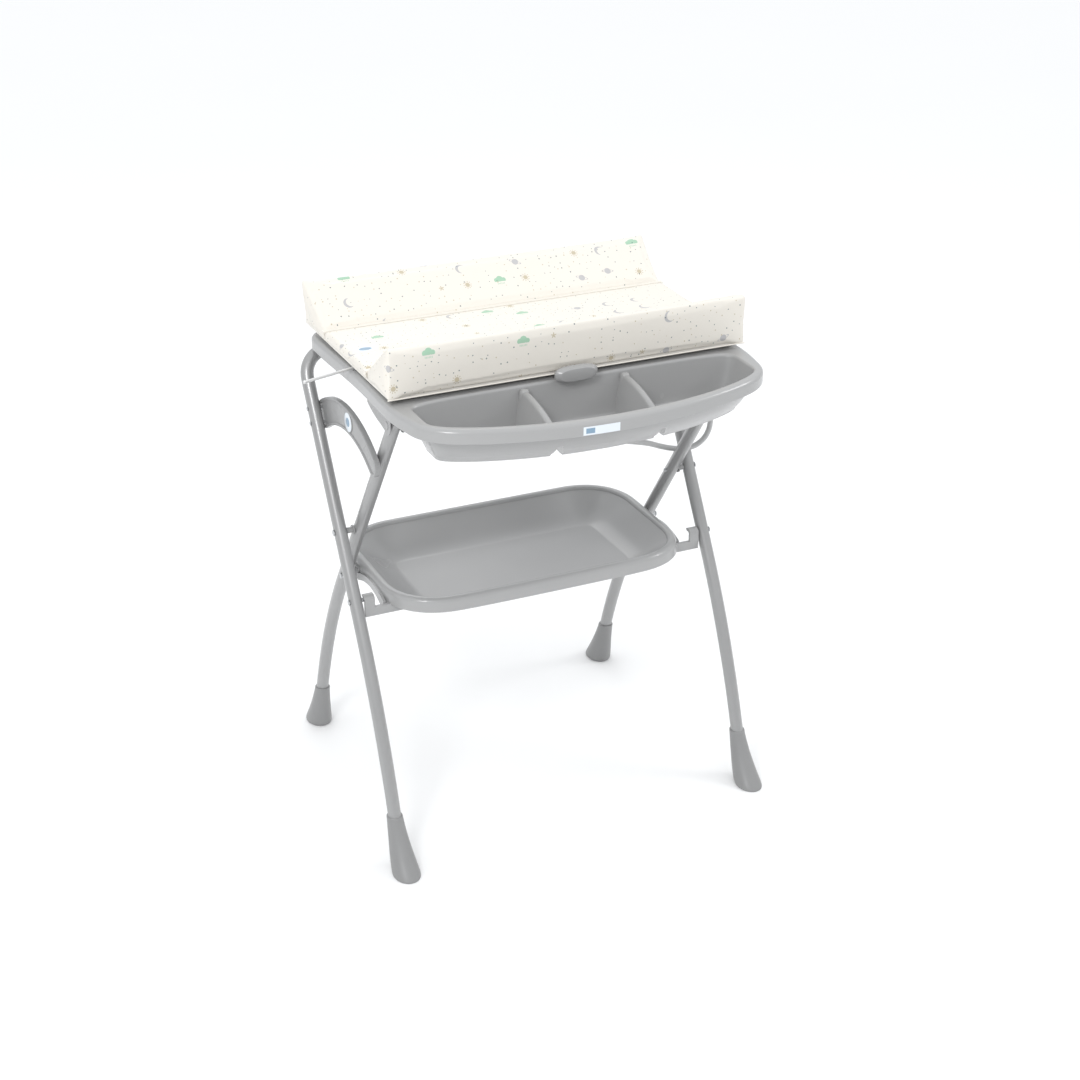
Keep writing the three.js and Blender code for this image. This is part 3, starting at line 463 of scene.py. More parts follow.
# ---- frame tubes and boots ------------------------------------------------------------------------
LEG_BOW_Z = 430
LEG_END_Z = 42
TOP_BEND_R = 50
BOW_R = {"outer": 1700, "inner": 1250}
BOOT_TOP = 100
SIDES = {"left": -1, "right": 1}
crossbar_low, crossbar_high = cad("rear_crossbar")
TUBE_R = (crossbar_high[2] - crossbar_low[2]) / 2
CROSSBAR = (crossbar_low + crossbar_high) / 2
LEAN = {"outer": math.atan2(CROSSBAR[1], CROSSBAR[2] - PIVOT_Z),
        "inner": math.atan2(-TUB_HINGE[1], TUB_HINGE[2] - PIVOT_Z)}
LEG_X = {"outer": cad("outer_leg_right")[1][0] - TUBE_R, "inner": cad("inner_leg_right")[1][0] - TUBE_R}


def leg_line(frame_name, side, top_z):
    """The centreline of a leg: an arc below LEG_BOW_Z and straight above it."""
    slant = 1 if frame_name == "outer" else -1
    lean, bow = LEAN[frame_name], BOW_R[frame_name]
    bow_y = slant * math.tan(lean) * (LEG_BOW_Z - PIVOT_Z)
    foot_lean = math.asin(math.sin(lean) - (LEG_BOW_Z - LEG_END_Z) / bow)
    x = side * LEG_X[frame_name]
    line = [(x, bow_y - slant * bow * (math.cos(a) - math.cos(lean)),
             LEG_BOW_Z - bow * (math.sin(lean) - math.sin(a))) for a in np.linspace(foot_lean, lean, 24)]
    for z in np.linspace(LEG_BOW_Z, top_z, 12)[1:]:
        line.append((x, slant * math.tan(lean) * (z - PIVOT_Z), z))
    return line


def outer_line(side):
    lean = LEAN["outer"]
    line = leg_line("outer", side, CROSSBAR[2] - TOP_BEND_R * math.cos(lean))
    start = np.array(line[-1])
    for a in np.linspace(0, math.pi / 2, 14)[1:]:
        rise = TOP_BEND_R * math.sin(a) * np.array([0, math.sin(lean), math.cos(lean)])
        line.append(tuple(start + rise + [-side * TOP_BEND_R * (1 - math.cos(a)), 0, 0]))
    line.append(tuple(np.array(line[-1]) + [-side * 4, 0, 0]))
    return line


def inner_line(side):
    beyond_hinge = 10
    return leg_line("inner", side, TUB_HINGE[2] + beyond_hinge)


BOOT_SECTIONS = [(0, 24.0, 30.5), (1.2, 25.6, 32.5), (5, 26, 33), (13, 25.2, 31.6), (32, 22.5, 27), (60, 18.8, 21),
                 (86, 16.2, 17), (94, 15.6, 16.2), (99, 15.2, 15.8), (BOOT_TOP, 14.4, 14.9)]


def make_boot(name, line, sole_shift, slant, body, node):
    line = np.array(line)
    rings = []
    for z, half_x, half_y in catmull_rom(BOOT_SECTIONS, 3):
        below = LEG_END_Z - z
        centre = np.array([np.interp(z, line[:, 2], line[:, k]) for k in (0, 1)])
        if below > 0:
            lean = (line[1, 1] - line[0, 1]) / (line[1, 2] - line[0, 2])
            centre[1] = line[0, 1] - lean * below
        centre[1] -= slant * sole_shift * (1 - z / BOOT_TOP) ** 2
        ring = circle((0, 0), 1, 48) * [half_x, half_y] + centre
        rings.append(np.column_stack([ring, np.full(len(ring), max(z, 0))]))
    fit(loft(name, rings), boot_plastic, "boot_plastic", body, node, angle=50)


def make_frame():
    for word, side in SIDES.items():
        outer, inner = outer_line(side), inner_line(side)
        fit(loft(f"outer_tube_{word}", sweep_rings(outer, TUBE_R)), paint, "frame_paint", "outer_frame",
            f"outer_leg_{word}")
        fit(loft(f"inner_tube_{word}", sweep_rings(inner, TUBE_R)), paint, "frame_paint", "inner_frame",
            f"inner_leg_{word}")
        make_boot(f"front_foot_{word}", outer, 26, 1, "outer_frame", f"front_boot_{word}")
        make_boot(f"rear_foot_{word}", inner, 8, -1, "inner_frame", f"rear_boot_{word}")
    ends = [(crossbar_low[0], *CROSSBAR[1:]), (crossbar_high[0], *CROSSBAR[1:])]
    fit(loft("crossbar_tube", sweep_rings(ends, TUBE_R)), paint, "frame_paint", "outer_frame", "rear_crossbar")


make_frame()

# ---- guide arm ------------------------------------------------------------------------------------
ARM_R = 237
ARM_ROOT_HALF = 28
ARM_TIP_HALF = 20
ARM_ROOT_DROP = 13
GUIDE_PIN_R = (cad("guide_pin")[1][2] - cad("guide_pin")[0][2]) / 2
BADGE_R = 18


def arc_band(start, end, root_half, tip_half, root_drop=0):
    """An outline in (y, z) of a band about the scissor pivot, with round ends. Its root may lie nearer the pivot."""
    hub = np.array([0, PIVOT_Z])
    angle = np.linspace(start, end, 40)
    spoke = np.stack([np.cos(angle), np.sin(angle)], axis=1)
    half = np.linspace(root_half, tip_half, 40)[:, None]
    middle = np.linspace(ARM_R - root_drop, ARM_R, 40)[:, None]
    parts = [hub + (middle + half) * spoke, arc(hub + ARM_R * spoke[-1], tip_half, end, end + math.pi, 16),
             (hub + (middle - half) * spoke)[::-1],
             arc(hub + middle[0] * spoke[0], root_half, start + math.pi, start + 2 * math.pi, 16)]
    return np.vstack([part[:-1] for part in parts])


def across(x, outline):
    return np.column_stack([np.full(len(outline), x), outline])


def make_guide_arm():
    low, high = cad("guide_arm")
    rest = math.pi / 2 + LEAN["inner"]
    start, end = math.pi / 2 - LEAN["outer"] + 0.03, rest + 0.05
    outside, inside = low[0], high[0]
    steps = [(inside, 1), (inside - 1, 0), (outside + 2.4, 0), (outside + 0.8, 0.5), (outside, 1.8), (outside, 4.4),
             (outside + 0.6, 5.6), (outside + 2, 6.2)]
    rings = [across(x, arc_band(start, end, ARM_ROOT_HALF - by, ARM_TIP_HALF - by, ARM_ROOT_DROP)) for x, by in steps]
    arm = loft("guide_arm_plate", rings)
    fold = math.radians(JOINTS["frame_fold"]["range_deg"][1])
    play = 0.012
    groove = arc_band(rest - fold - play, rest + play, GUIDE_PIN_R + 0.5, GUIDE_PIN_R + 0.5)
    boolean(arm, loft("groove_form", [across(x, groove) for x in (inside - 6, inside + 5)]), "DIFFERENCE")
    fit(arm, dark_plastic, "dark_grey_plastic", "outer_frame", "guide_arm", angle=40)
    middle = (start + end) / 2 + 0.04
    badge_at = ARM_R - ARM_ROOT_DROP / 2
    centre = (badge_at * math.cos(middle), PIVOT_Z + badge_at * math.sin(middle))
    badge = [("arm_badge_collar", dark_plastic, "dark_grey_plastic", BADGE_R + 1.8, 0.6),
             ("arm_badge_disc", label_film, "label_white", BADGE_R, 0.9),
             ("arm_badge_dot", label_blue, "label_white", BADGE_R * 0.48, 1.2)]
    for name, material, slot, radius, lift in badge:
        steps = [(outside + 2, radius), (outside + 1.6 - lift, radius), (outside + 1.4 - lift, radius - 0.5)]
        rings = [across(x, circle(centre, r, 48)) for x, r in steps]
        fit(loft(name, rings), material, slot, "outer_frame")


make_guide_arm()

# ---- tub ------------------------------------------------------------------------------------------
RIM_TOP = 914
RIM_SKIRT = 888
RIM_FRONT = -419
RIM_REAR = 200
RIM_BOW_R = 740
WALL = 2.6
BASIN_FLOOR = 763
CUP_FLOOR = 834
BRIDGE_FRONT = -218
DIVIDER_X = 100
DRAIN_BORE_R = 12.3
KNOB_SECTIONS = [(870, 9.5), (900, 9.5), (906, 8.6), (908.6, 6.6), (909.8, 3.6), (910, 1.5)]
FILLET_ANGLES = np.linspace(0, math.radians(86), 7)


def rim_outline():
    """A long bow in front, round front corners, slightly waisted sides and a straight rear."""
    bow_half, rear_corner = 268, 42
    bow_y = RIM_FRONT + RIM_BOW_R - math.sqrt(RIM_BOW_R ** 2 - bow_half ** 2)
    bow_end = math.asin(bow_half / RIM_BOW_R)
    right = np.vstack([
        bezier((bow_half, bow_y), (bow_half + 46, bow_y + 18), (340, -322), (345, -288)),
        bezier((345, -288), (349, -262), (355, -240), (355, -200)),
        bezier((355, -200), (355, -140), (352, -120), (352, -70)),
        bezier((352, -70), (352, 10), (358, 60), (358, RIM_REAR - rear_corner)),
        arc((358 - rear_corner, RIM_REAR - rear_corner), rear_corner, 0, math.pi / 2)])
    bow = arc((0, RIM_FRONT + RIM_BOW_R), RIM_BOW_R, -math.pi / 2 - bow_end, -math.pi / 2 + bow_end, 60)
    return even_ring(np.vstack([bow, right, right[::-1] * [-1, 1]]), 260)


def squarish_ring(half, rear, front, z, power=5, count=180):
    """A superellipse between a straight rear edge and a front edge given as a function of x."""
    a = np.linspace(0, 2 * np.pi, 2400, endpoint=False)
    bend = lambda v: np.sign(v) * np.abs(v) ** (2 / power)
    x = half * bend(np.cos(a))
    v = (bend(np.sin(a)) + 1) / 2
    y = front(x) * (1 - v) + rear * v
    return np.column_stack([even_ring(np.stack([x, y], axis=1), count), np.full(count, z)])


def cup_front(x, inset_by):
    inner_bow = RIM_BOW_R + 50
    return RIM_FRONT + 21 + inset_by + inner_bow - np.sqrt(inner_bow ** 2 - x ** 2)


def lip(z, radius, *sizes):
    """Stations that flare out by a rounded lip whose top is at z. sizes grow by the same amount."""
    return [(z - radius + radius * math.sin(a), *(s + radius * (1 - math.cos(a)) for s in sizes))
            for a in FILLET_ANGLES]


def basin(grow, top_z):
    stations = [(BASIN_FLOOR, 205, 48, 112), (BASIN_FLOOR + 1.5, 211, 53, 118), (BASIN_FLOOR + 6, 218, 58, 123),
                (785, 238, 76, 130), (830, 262, 112, 138), (870, 276, 138, 144), (RIM_TOP - 7, 286, 152, 149)]
    rows = catmull_rom(stations, 5).tolist()
    if not grow:
        rows += lip(RIM_TOP + 0.1, 7, 286, 152, 149)[1:]
    rows.append((top_z, *rows[-1][1:]))
    rings = []
    for z, half, rear, front in rows:
        drop = grow if z < BASIN_FLOOR + 6 else 0
        rings.append(squarish_ring(half + grow, rear + grow, lambda x: -front - grow + 0 * x, z - drop))
    return loft("basin_form", rings)


def trough(grow, top_z):
    """The long bin in front of the bridge, with a flat floor and a soft lip."""
    stations = [(CUP_FLOOR, 282, 22, 54), (CUP_FLOOR + 1.2, 289, 15, 45), (CUP_FLOOR + 5, 295, 10.5, 35),
                (870, 308, 5, 12), (RIM_TOP - 6, 318, 0, 1)]
    rows = catmull_rom(stations, 5).tolist()
    if not grow:
        rows += [(z, 318 + flare, -flare, 1 - flare) for z, flare in lip(RIM_TOP + 0.1, 6, 0)[1:]]
    rows.append((top_z, *rows[-1][1:]))
    rings = []
    for z, half, rear_in, front_in in rows:
        drop = grow if z < CUP_FLOOR + 4 else 0
        rings.append(squarish_ring(half + grow, BRIDGE_FRONT - rear_in + grow,
                                   lambda x: cup_front(x, front_in - grow), z - drop, 7, 240))
    return loft("trough_form", rings)


def divider(side, shrink):
    """A drafted wedge across the trough with a round crest. shrink makes the hollow that is open from below."""
    rear = BRIDGE_FRONT + 3
    rear_end = (rear, RIM_TOP - 6)
    sweep_line = bezier((rear - 168, 858), (rear - 128, 886), (rear - 76, RIM_TOP - 7), rear_end, 26)
    crest = np.vstack([sweep_line, rear_end])
    base = CUP_FLOOR - WALL - (6 if shrink else 0)
    half = 7 - shrink
    rings = []
    for y, crest_z in crest:
        top = crest_z - shrink
        foot = half + 0.2 * (top - base)
        crown = arc((0, top - half), half, math.radians(172), math.radians(8), 15)
        section = np.vstack([[(-foot, base)], crown, [(foot, base)]])
        rings.append(np.column_stack([side * DIVIDER_X + section[:, 0], np.full(len(section), y), section[:, 1]]))
    return loft("divider_form", rings)


def slab(x, y, z):
    """A plain block between pairs of x, y and z."""
    corners = [(x[0], y[0]), (x[1], y[0]), (x[1], y[1]), (x[0], y[1])]
    return loft("slab_form", [np.array([(*corner, level) for corner in corners], float) for level in z])


def make_tub():
    outline = rim_outline()
    corner = 9
    roll = [inset(outline, 1.6, RIM_SKIRT), inset(outline, 0.4, RIM_SKIRT + 0.8), inset(outline, 0, RIM_SKIRT + 2.4)]
    roll += [inset(outline, corner * (1 - math.cos(a)), RIM_TOP - corner + corner * math.sin(a))
             for a in np.linspace(0, math.pi / 2, 10)]
    tub = loft("bath_tub_shell", roll)
    under = [inset(outline, WALL, RIM_SKIRT - 5), inset(outline, WALL, RIM_TOP - corner),
             inset(outline, WALL + 2, RIM_TOP - WALL - 3), inset(outline, WALL + 8, RIM_TOP - WALL)]
    boolean(tub, loft("under_form", under), "DIFFERENCE")
    boolean(tub, basin(WALL, RIM_TOP - 1), "UNION")
    boolean(tub, trough(WALL, RIM_TOP - 1), "UNION")
    boolean(tub, basin(0, RIM_TOP + 4), "DIFFERENCE")
    boolean(tub, trough(0, RIM_TOP + 4), "DIFFERENCE")
    for side in SIDES.values():
        x = side * DIVIDER_X
        boolean(tub, boolean(divider(side, 0), trough(WALL, RIM_TOP - 1), "INTERSECT"), "UNION")
        knob = [np.column_stack([circle((x, BRIDGE_FRONT - 7), radius, 32), np.full(32, z)])
                for z, radius in KNOB_SECTIONS]
        boolean(tub, loft("knob_form", knob), "UNION")
        open_below = slab((x - 60, x + 60), (RIM_FRONT, BRIDGE_FRONT - 18), (CUP_FLOOR - 20, RIM_TOP))
        boolean(tub, boolean(divider(side, WALL), open_below, "INTERSECT"), "DIFFERENCE")
    fitting_low, fitting_high = cad("drain_fitting")
    drain_x, drain_y = (fitting_low[:2] + fitting_high[:2]) / 2
    bore = [np.column_stack([circle((drain_x, drain_y), DRAIN_BORE_R, 40), np.full(40, z)])
            for z in (BASIN_FLOOR - 12, BASIN_FLOOR + 3)]
    boolean(tub, loft("bore_form", bore), "DIFFERENCE")
    fit(tub, plastic, "grey_moulding", "tub", "bath_tub", angle=38)
    even_normals(tub)


make_tub()


def make_front_label():
    """A plain sticker on the rim's skirt, bowed with it."""
    left, right = -78, -10
    for name, material, start, end, lift in (("rim_sticker", label_film, left, right, 0.3),
                                             ("rim_sticker_patch", label_blue, left + 5, left + 21, 0.45)):
        x = np.linspace(start, end, 12)
        surface = RIM_FRONT + RIM_BOW_R - np.sqrt(RIM_BOW_R ** 2 - x ** 2)
        margin = 1.5 if start == left else 4.5
        rings = []
        for z in (RIM_SKIRT + 1 + margin, RIM_TOP - 6.5 - margin):
            front = np.stack([x, surface - lift, np.full(12, z)], axis=1)
            rings.append(np.vstack([front, (front + [0, lift, 0])[::-1]]))
        fit(loft(name, rings), material, "label_white", "tub")


make_front_label()

# ---- shelf tray -----------------------------------------------------------------------------------
TRAY_TOP = 480
TRAY_SKIRT = 453
TRAY_FLOOR = 426
TRAY_HALF = 312
TRAY_FRONT = -152
TRAY_REAR = 222


def tray_outline():
    corner = 118
    w, f, b = TRAY_HALF, TRAY_FRONT, TRAY_REAR
    front = bezier((-w + corner, f), (-w / 2, f - 4), (w / 2, f - 4), (w - corner, f), 40)
    right = np.vstack([
        bezier((w - corner, f), (w - corner * 0.4, f + 3), (w, f + corner * 0.4), (w, f + corner), 30),
        bezier((w, b - corner), (w, b - corner * 0.4), (w - corner * 0.4, b), (w - corner, b), 30),
        [(w - corner, b)]])
    return even_ring(np.vstack([front, right, right[::-1] * [-1, 1]]), 260)


def tray_basin(outline, grow, top_z):
    stations = [(TRAY_FLOOR, 94), (TRAY_FLOOR + 1, 88), (TRAY_FLOOR + 4, 80), (TRAY_FLOOR + 14, 62),
                (TRAY_TOP - 16, 30), (TRAY_TOP - 7, 18)]
    rows = catmull_rom(stations, 5).tolist()
    if not grow:
        rows += [(z, 18 - flare) for z, flare in lip(TRAY_TOP + 0.1, 7, 0)[1:]]
    rows.append((top_z, rows[-1][1]))
    rings = [inset(outline, by - grow, z - (grow if z < TRAY_FLOOR + 3 else 0)) for z, by in rows]
    return loft("tray_form", rings)


def plate(name, outline, x0, x1, bevel=0.8):
    """An outline in (y, z) as a plate from x0 to x1 with softened edges."""
    rings = []
    for x, by in ((x0, bevel), (x0 + bevel, 0), (x1 - bevel, 0), (x1, bevel)):
        edge = inset(np.asarray(outline, float), by, 0)[:, :2]
        rings.append(np.column_stack([np.full(len(edge), x), edge]))
    return loft(name, rings)


def tray_ends(side):
    """The lug on the leg's pin and the arm with its hook, as plates to join to the tray."""
    pin_low, pin_high = cad(f"shelf_pivot_pin_{'left' if side < 0 else 'right'}")
    hook_low, hook_high = cad(f"shelf_hook_pin_{'left' if side < 0 else 'right'}")
    pin_y, pin_z = (pin_low[1:] + pin_high[1:]) / 2
    hook_y, hook_z = (hook_low[1:] + hook_high[1:]) / 2
    lug = np.vstack([arc((pin_y, pin_z), 12, -math.pi, 0, 24), [(pin_y + 22, 465), (pin_y - 22, 465)]])
    hook = np.vstack([arc((hook_y, hook_z), 11, math.radians(42), math.pi, 24),
                      [(hook_y - 11, 438), (hook_y - 4.5, 438)],
                      arc((hook_y, hook_z), 4.5, math.radians(205), math.radians(42), 20)])
    near, far = sorted((side * 338, side * 358))
    lug_near, lug_far = sorted((side * 300, side * 318))
    arm_near, arm_far = sorted((side * 280, side * 357))
    foot_near, foot_far = sorted((side * 280, side * 312))
    arm = [(hook_y - 11, 438), (hook_y - 4.5, 438), (hook_y - 4.5, 456), (hook_y - 11, 456)]
    foot = [(hook_y - 11, 438), (hook_y + 8, 438), (hook_y + 8, 456), (hook_y - 11, 456)]
    rib = np.vstack([quadratic((pin_y - 10, TRAY_SKIRT - 1), (-5, TRAY_TOP + 4), (hook_y, TRAY_SKIRT + 5)),
                     [(hook_y, TRAY_SKIRT + 5), (hook_y - 8, 438)],
                     quadratic((hook_y + 4, 438), (-5, TRAY_TOP - 6), (pin_y - 18, 441)), [(pin_y - 18, 441)]])[::-1]
    rib_near, rib_far = sorted((side * 313, side * 318))
    return [plate("lug_form", lug, lug_near, lug_far), plate("hook_form", hook, near, far),
            plate("arm_form", arm, arm_near, arm_far), plate("foot_form", foot, foot_near, foot_far),
            plate("rib_form", rib, rib_near, rib_far)]


def make_tray():
    outline = tray_outline()
    corner = 10
    rings = [inset(outline, by, TRAY_SKIRT + rise) for by, rise in ((-1.6, 0), (-2.8, 1), (-2.6, 3))]
    rings += [inset(outline, -1 + (corner + 1) * (1 - math.cos(a)), TRAY_TOP - corner + corner * math.sin(a))
              for a in np.linspace(0, math.pi / 2, 10)]
    tray = loft("shelf_tray_shell", rings)
    under = [inset(outline, WALL - 2.6, TRAY_SKIRT - 5), inset(outline, WALL, TRAY_TOP - corner),
             inset(outline, WALL + 8, TRAY_TOP - WALL)]
    boolean(tray, loft("under_form", under), "DIFFERENCE")
    boolean(tray, tray_basin(outline, WALL, TRAY_TOP - 1), "UNION")
    for side in SIDES.values():
        for form in tray_ends(side):
            boolean(tray, form, "UNION")
    boolean(tray, tray_basin(outline, 0, TRAY_TOP + 4), "DIFFERENCE")
    fit(tray, plastic, "grey_moulding", "shelf", "shelf_tray", angle=38)
    even_normals(tray)


make_tray()

# ---- changing mat ---------------------------------------------------------------------------------
board_low, board_high = cad("mat_board")
PAD_LOW = board_low[2] + 1
PAD_TOP = cad("mat_centre_pad")[1][2]
CREASE = cad("mat_centre_pad")[1][1] + 1
MAT_END = cad("mat_centre_pad")[1][0]
FRONT, FRONT_TOP = cad("mat_front_bolster")[0][1], cad("mat_front_bolster")[1][2]
REAR, REAR_TOP = cad("mat_rear_bolster")[1][1], cad("mat_rear_bolster")[1][2]
CORNER_PULL = {"x": 9, "z": 5}     # how far the welded upper corners of the rear bolster are drawn out
PAD_PROFILES = {
    "mat_rear_bolster": [(REAR, PAD_LOW), (REAR, REAR_TOP - 5), (REAR - 5, REAR_TOP), (REAR - 11, REAR_TOP - 1),
                         (CREASE + 1, PAD_TOP), (CREASE + 1, PAD_LOW)],
    "mat_centre_pad": [(CREASE - 1, PAD_LOW), (CREASE - 1, PAD_TOP - 3), (CREASE - 10, PAD_TOP),
                       (-CREASE + 10, PAD_TOP), (-CREASE + 1, PAD_TOP - 3), (-CREASE + 1, PAD_LOW)],
    "mat_front_bolster": [(-CREASE - 1, PAD_LOW), (-CREASE - 1, PAD_TOP), (FRONT + 12, FRONT_TOP - 1),
                          (FRONT + 5, FRONT_TOP), (FRONT, FRONT_TOP - 5), (FRONT, PAD_LOW)],
}
PRINT_LINE = np.array([(REAR, PAD_LOW), (REAR, REAR_TOP - 2), (REAR - 8, REAR_TOP), (CREASE, PAD_TOP),
                       (-CREASE, PAD_TOP), (FRONT + 9, FRONT_TOP), (FRONT, FRONT_TOP - 2), (FRONT, PAD_LOW)])


def print_coordinates(obj):
    """Stores each point's place on the unrolled cover, in millimetres, for the printed pattern."""
    co = np.empty(len(obj.data.vertices) * 3)
    obj.data.vertices.foreach_get("co", co)
    co = (co.reshape(-1, 3) - ORIGIN) / MM
    start, step = PRINT_LINE[:-1], np.diff(PRINT_LINE, axis=0)
    size = np.linalg.norm(step, axis=1)
    run = np.concatenate([[0], np.cumsum(size)[:-1]])
    offset = co[:, None, 1:] - start[None]
    share = np.clip((offset * step).sum(2) / size ** 2, 0, 1)
    away = np.linalg.norm(offset - share[..., None] * step, axis=2)
    nearest = away.argmin(axis=1)
    pick = np.arange(len(co))
    at_end = np.abs(co[:, 0]) > MAT_END - 6
    values = np.zeros((len(co), 3))
    values[:, 0] = co[:, 0] + np.sign(co[:, 0]) * away.min(axis=1) * at_end
    values[:, 1] = -(run[nearest] + share[pick, nearest] * size[nearest])
    layer = obj.data.attributes.new("print_at", "FLOAT_VECTOR", "POINT")
    layer.data.foreach_set("vector", values.ravel())


def vertex_array(mesh):
    co = np.empty(len(mesh.vertices) * 3)
    mesh.vertices.foreach_get("co", co)
    return co.reshape(-1, 3)


def inflate(obj, voxel, cap):
    """Remeshes a closed form and puffs it with Cloth pressure, moving no point by more than cap."""
    remesh = obj.modifiers.new("remesh", "REMESH")
    remesh.mode = "VOXEL"
    remesh.voxel_size = voxel * MM
    depsgraph = bpy.context.evaluated_depsgraph_get()
    obj.data = bpy.data.meshes.new_from_object(obj.evaluated_get(depsgraph))
    obj.modifiers.clear()
    rest = vertex_array(obj.data)
    cloth = obj.modifiers.new("cloth", "CLOTH")
    cloth.settings.use_pressure = True
    cloth.settings.uniform_pressure_force = 4
    cloth.settings.effector_weights.gravity = 0
    scene = bpy.context.scene
    for step in range(1, 21):
        scene.frame_set(step)
    depsgraph = bpy.context.evaluated_depsgraph_get()
    puffed = bpy.data.meshes.new_from_object(obj.evaluated_get(depsgraph))
    moved = vertex_array(puffed) - rest
    reach = np.linalg.norm(moved, axis=1, keepdims=True)
    moved *= np.minimum(1, cap * MM / np.maximum(reach, 1e-9))
    puffed.vertices.foreach_set("co", (rest + moved).ravel())
    obj.modifiers.clear()
    obj.data = puffed
    scene.frame_set(1)


def make_pad(node, profile):
    margin = 1.2
    profile = np.array(profile, float)
    rings = []
    for x, by in ((-MAT_END + margin, margin + 1), (-MAT_END + margin + 4, margin), (MAT_END - margin - 4, margin),
                  (MAT_END - margin, margin + 1)):
        edge = inset(profile, by, 0)[:, :2]
        rings.append(np.column_stack([np.full(len(edge), x), edge]))
    pad = loft(f"{node}_cushion", rings)
    inflate(pad, 4, 3)
    low, high = cad(node)
    low[2] = PAD_LOW
    co = np.clip((vertex_array(pad.data) - ORIGIN) / MM, low, high)
    print_coordinates(pad)
    if node == "mat_rear_bolster":
        rise = np.clip((co[:, 2] - PAD_TOP) / (REAR_TOP - PAD_TOP), 0, 1)
        near_end = np.clip((np.abs(co[:, 0]) - MAT_END + 60) / 60, 0, 1)
        co[:, 0] += np.sign(co[:, 0]) * CORNER_PULL["x"] * rise ** 1.5 * near_end ** 2
        co[:, 2] += CORNER_PULL["z"] * rise ** 2 * (0.6 + 0.4 * near_end ** 2)
    pad.data.vertices.foreach_set("co", row(co).ravel())
    smooth = pad.modifiers.new("smooth_cover", "SUBSURF")
    smooth.levels = 1
    smooth.render_levels = 1
    fit(pad, vinyl, "printed_mat_cover", "mat", node, angle=80)


for pad_node, pad_profile in PAD_PROFILES.items():
    make_pad(pad_node, pad_profile)


def make_mat_seams():
    """Welded joints between the pads, and a thin piping along the lower front edge."""
    for name, y in (("rear_weld", CREASE), ("front_weld", -CREASE)):
        section = np.array([(y - 5, PAD_TOP - 5), (y + 5, PAD_TOP - 5), (y + 5, PAD_TOP - 1.6), (y, PAD_TOP - 2.2),
                            (y - 5, PAD_TOP - 1.6)])
        rings = [np.column_stack([np.full(len(section), x), section]) for x in (-MAT_END + 1, MAT_END - 1)]
        weld = loft(name, rings)
        print_coordinates(weld)
        fit(weld, plain_vinyl, "printed_mat_cover", "mat")
    path = [(x, FRONT + 0.6, PAD_LOW + 0.8) for x in np.linspace(-MAT_END + 2, MAT_END - 2, 20)]
    piping = loft("front_piping", sweep_rings(path, 1.3, 12))
    fit(piping, plain_vinyl, "printed_mat_cover", "mat")


make_mat_seams()


def make_mat_board():
    """The base board, set back a little under the pads."""
    set_back = 7
    x, y = ((board_low[k] + set_back, board_high[k] - set_back) for k in (0, 1))
    board = slab(x, y, (board_low[2], board_high[2]))
    fit(board, board_plastic, "white_board", "mat", "mat_board")


make_mat_board()


def make_mat_label():
    x, y, half_x, half_y = -318, -15, 24, 13
    layers = [("mat_badge_oval", label_film, 1, 0.5), ("mat_badge_mark", label_blue, 0.5, 0.8)]
    for name, material, scale, lift in layers:
        rings = []
        for z in (PAD_TOP - 0.4, PAD_TOP + lift):
            edge = circle((0, 0), 1, 48) * [half_x * scale, half_y * scale] + [x, y]
            rings.append(np.column_stack([edge, np.full(len(edge), z)]))
        fit(loft(name, rings), material, "label_white", "mat")


make_mat_label()


def make_handle():
    """The grip: a bevelled lozenge in front of the board's edge, on a short stem."""
    low, high = cad("mat_handle")
    mid_z, half_z = (low[2] + high[2]) / 2, (high[2] - low[2]) / 2
    half_x = (high[0] - low[0]) / 2
    grip_back = high[1] - 3.3
    rings = []
    for depth, scale in ((0, 0.84), (1.5, 0.93), (5, 1), (9, 1), (10.5, 0.97), (16, 0.82), (16.8, 0.79), (17, 0.76)):
        a = np.linspace(0, 2 * math.pi, 64, endpoint=False)
        bend = lambda v, power: np.sign(v) * np.abs(v) ** power
        x = half_x * scale * bend(np.cos(a), 0.62)
        z = mid_z + half_z * scale * bend(np.sin(a), 0.72)
        rings.append(np.stack([x, np.full(64, grip_back - depth), z], axis=1))
    grip = loft("mat_grip", rings)
    stem = loft("stem_form", [np.array([(-20, y, 925), (20, y, 925), (20, y, 934), (-20, y, 934)], float)
                              for y in (grip_back - 2, high[1])])
    boolean(grip, stem, "UNION")
    fit(grip, handle_plastic, "dark_grey_plastic", "mat", "mat_handle", angle=40)


make_handle()

# ---- finishes for the CAD parts that stay ---------------------------------------------------------
KEPT = {"frame_paint": paint, "grey_moulding": plastic, "boot_plastic": boot_plastic, "zinc_fastener": zinc,
        "dark_grey_plastic": dark_plastic, "bumper_rubber": rubber, "printed_mat_cover": vinyl,
        "white_board": board_plastic, "hose_plastic": hose_plastic, "label_white": label_film}


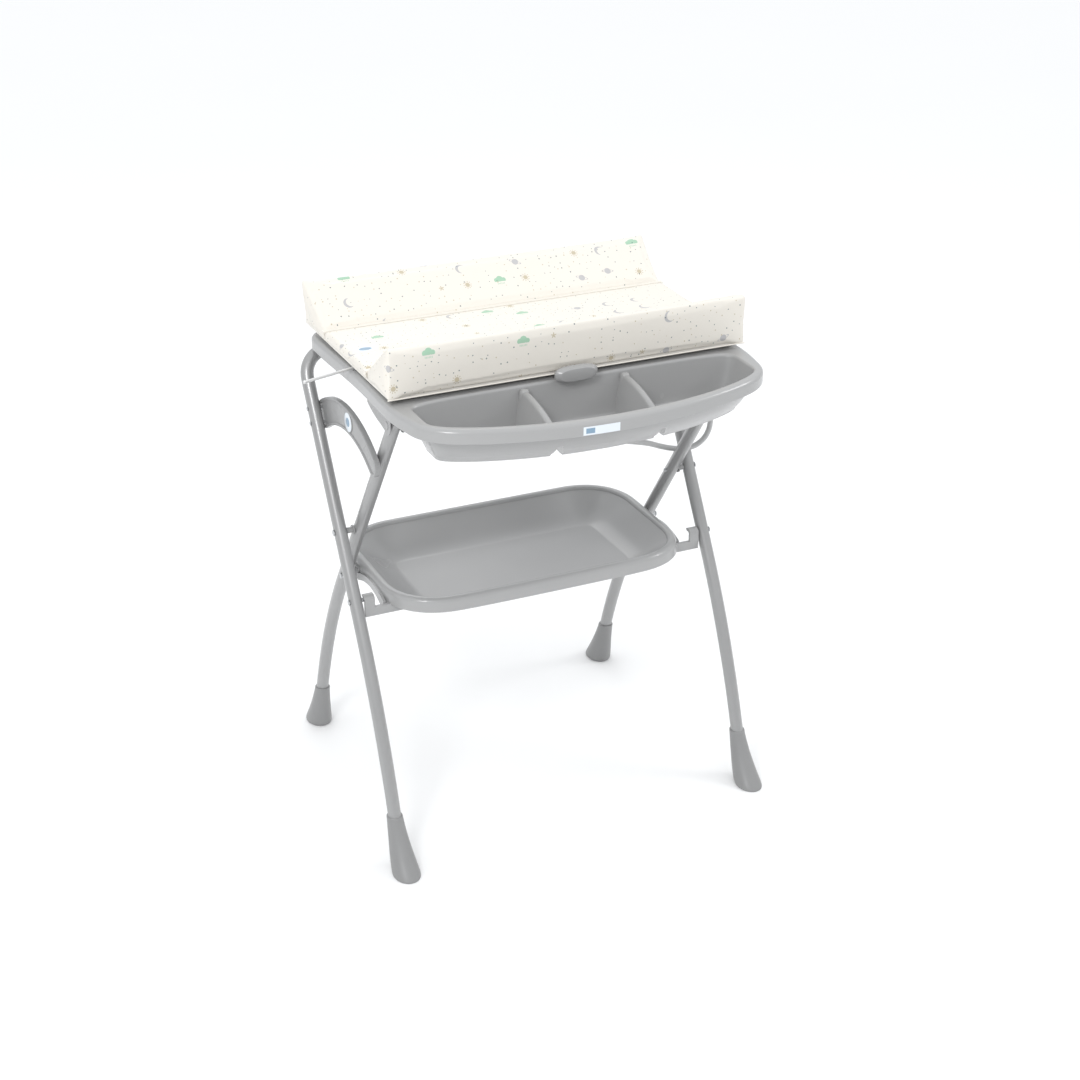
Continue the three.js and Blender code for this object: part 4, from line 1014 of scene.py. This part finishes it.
def finish_cad_nodes():
    slots = {part["node"]: part["material_slot"] for part in frame["record"]["subparts"]}
    for name, obj in frame["nodes"].items():
        if obj.hide_render:
            continue
        if not obj.data.materials:
            obj.data.materials.append(None)
        for material_slot in obj.material_slots:
            material_slot.link = "OBJECT"
            material_slot.material = bright_paint if name == "towel_bar" else KEPT[slots[name]]
        shade(obj)


finish_cad_nodes()


# ---- floor, backdrop and light --------------------------------------------------------------------
def make_stage():
    half = 30
    mesh = bpy.data.meshes.new("floor")
    mesh.from_pydata([(-half, -half, 0), (half, -half, 0), (half, half, 0), (-half, half, 0)], [], [(0, 1, 2, 3)])
    floor = bpy.data.objects.new("floor", mesh)
    bpy.context.scene.collection.objects.link(floor)
    surface = Surface("floor_paper", 0.9)
    surface.link(surface.mix(surface.noise(0.8), (0.955, 0.955, 0.955), (0.97, 0.97, 0.97)), "Base Color")
    mesh.materials.append(surface.material)


def area_light(name, position, size, watts):
    data = bpy.data.lights.new(name, "AREA")
    data.size = size
    data.energy = watts
    light = bpy.data.objects.new(name, data)
    target = Vector((0, 0, 0.6))
    place = Vector(position)
    light.matrix_world = Matrix.Translation(place) @ (place - target).to_track_quat("Z", "Y").to_matrix().to_4x4()
    bpy.context.scene.collection.objects.link(light)


def make_light():
    world = bpy.data.worlds.new("studio")
    bpy.context.scene.world = world
    world.use_nodes = True
    tree = world.node_tree
    background = tree.nodes["Background"]
    direction = tree.nodes.new("ShaderNodeTexCoord")
    apart = tree.nodes.new("ShaderNodeSeparateXYZ")
    tree.links.new(direction.outputs["Generated"], apart.inputs[0])
    glow = tree.nodes.new("ShaderNodeMapRange")
    for key, value in (("From Min", 0.0), ("From Max", 0.9), ("To Min", 0.7), ("To Max", 1.16)):
        glow.inputs[key].default_value = value
    tree.links.new(apart.outputs["Z"], glow.inputs["Value"])
    tree.links.new(glow.outputs[0], background.inputs["Strength"])
    background.inputs["Color"].default_value = (0.97, 0.985, 1, 1)
    area_light("key", (-2.0, -1.9, 2.9), 0.8, 34)
    area_light("strip", (2.3, -0.6, 2.4), 0.7, 12)
    area_light("rim", (0.4, 2.6, 2.8), 1.6, 10)
    bpy.context.scene.view_settings.view_transform = "Standard"


make_stage()
make_light()
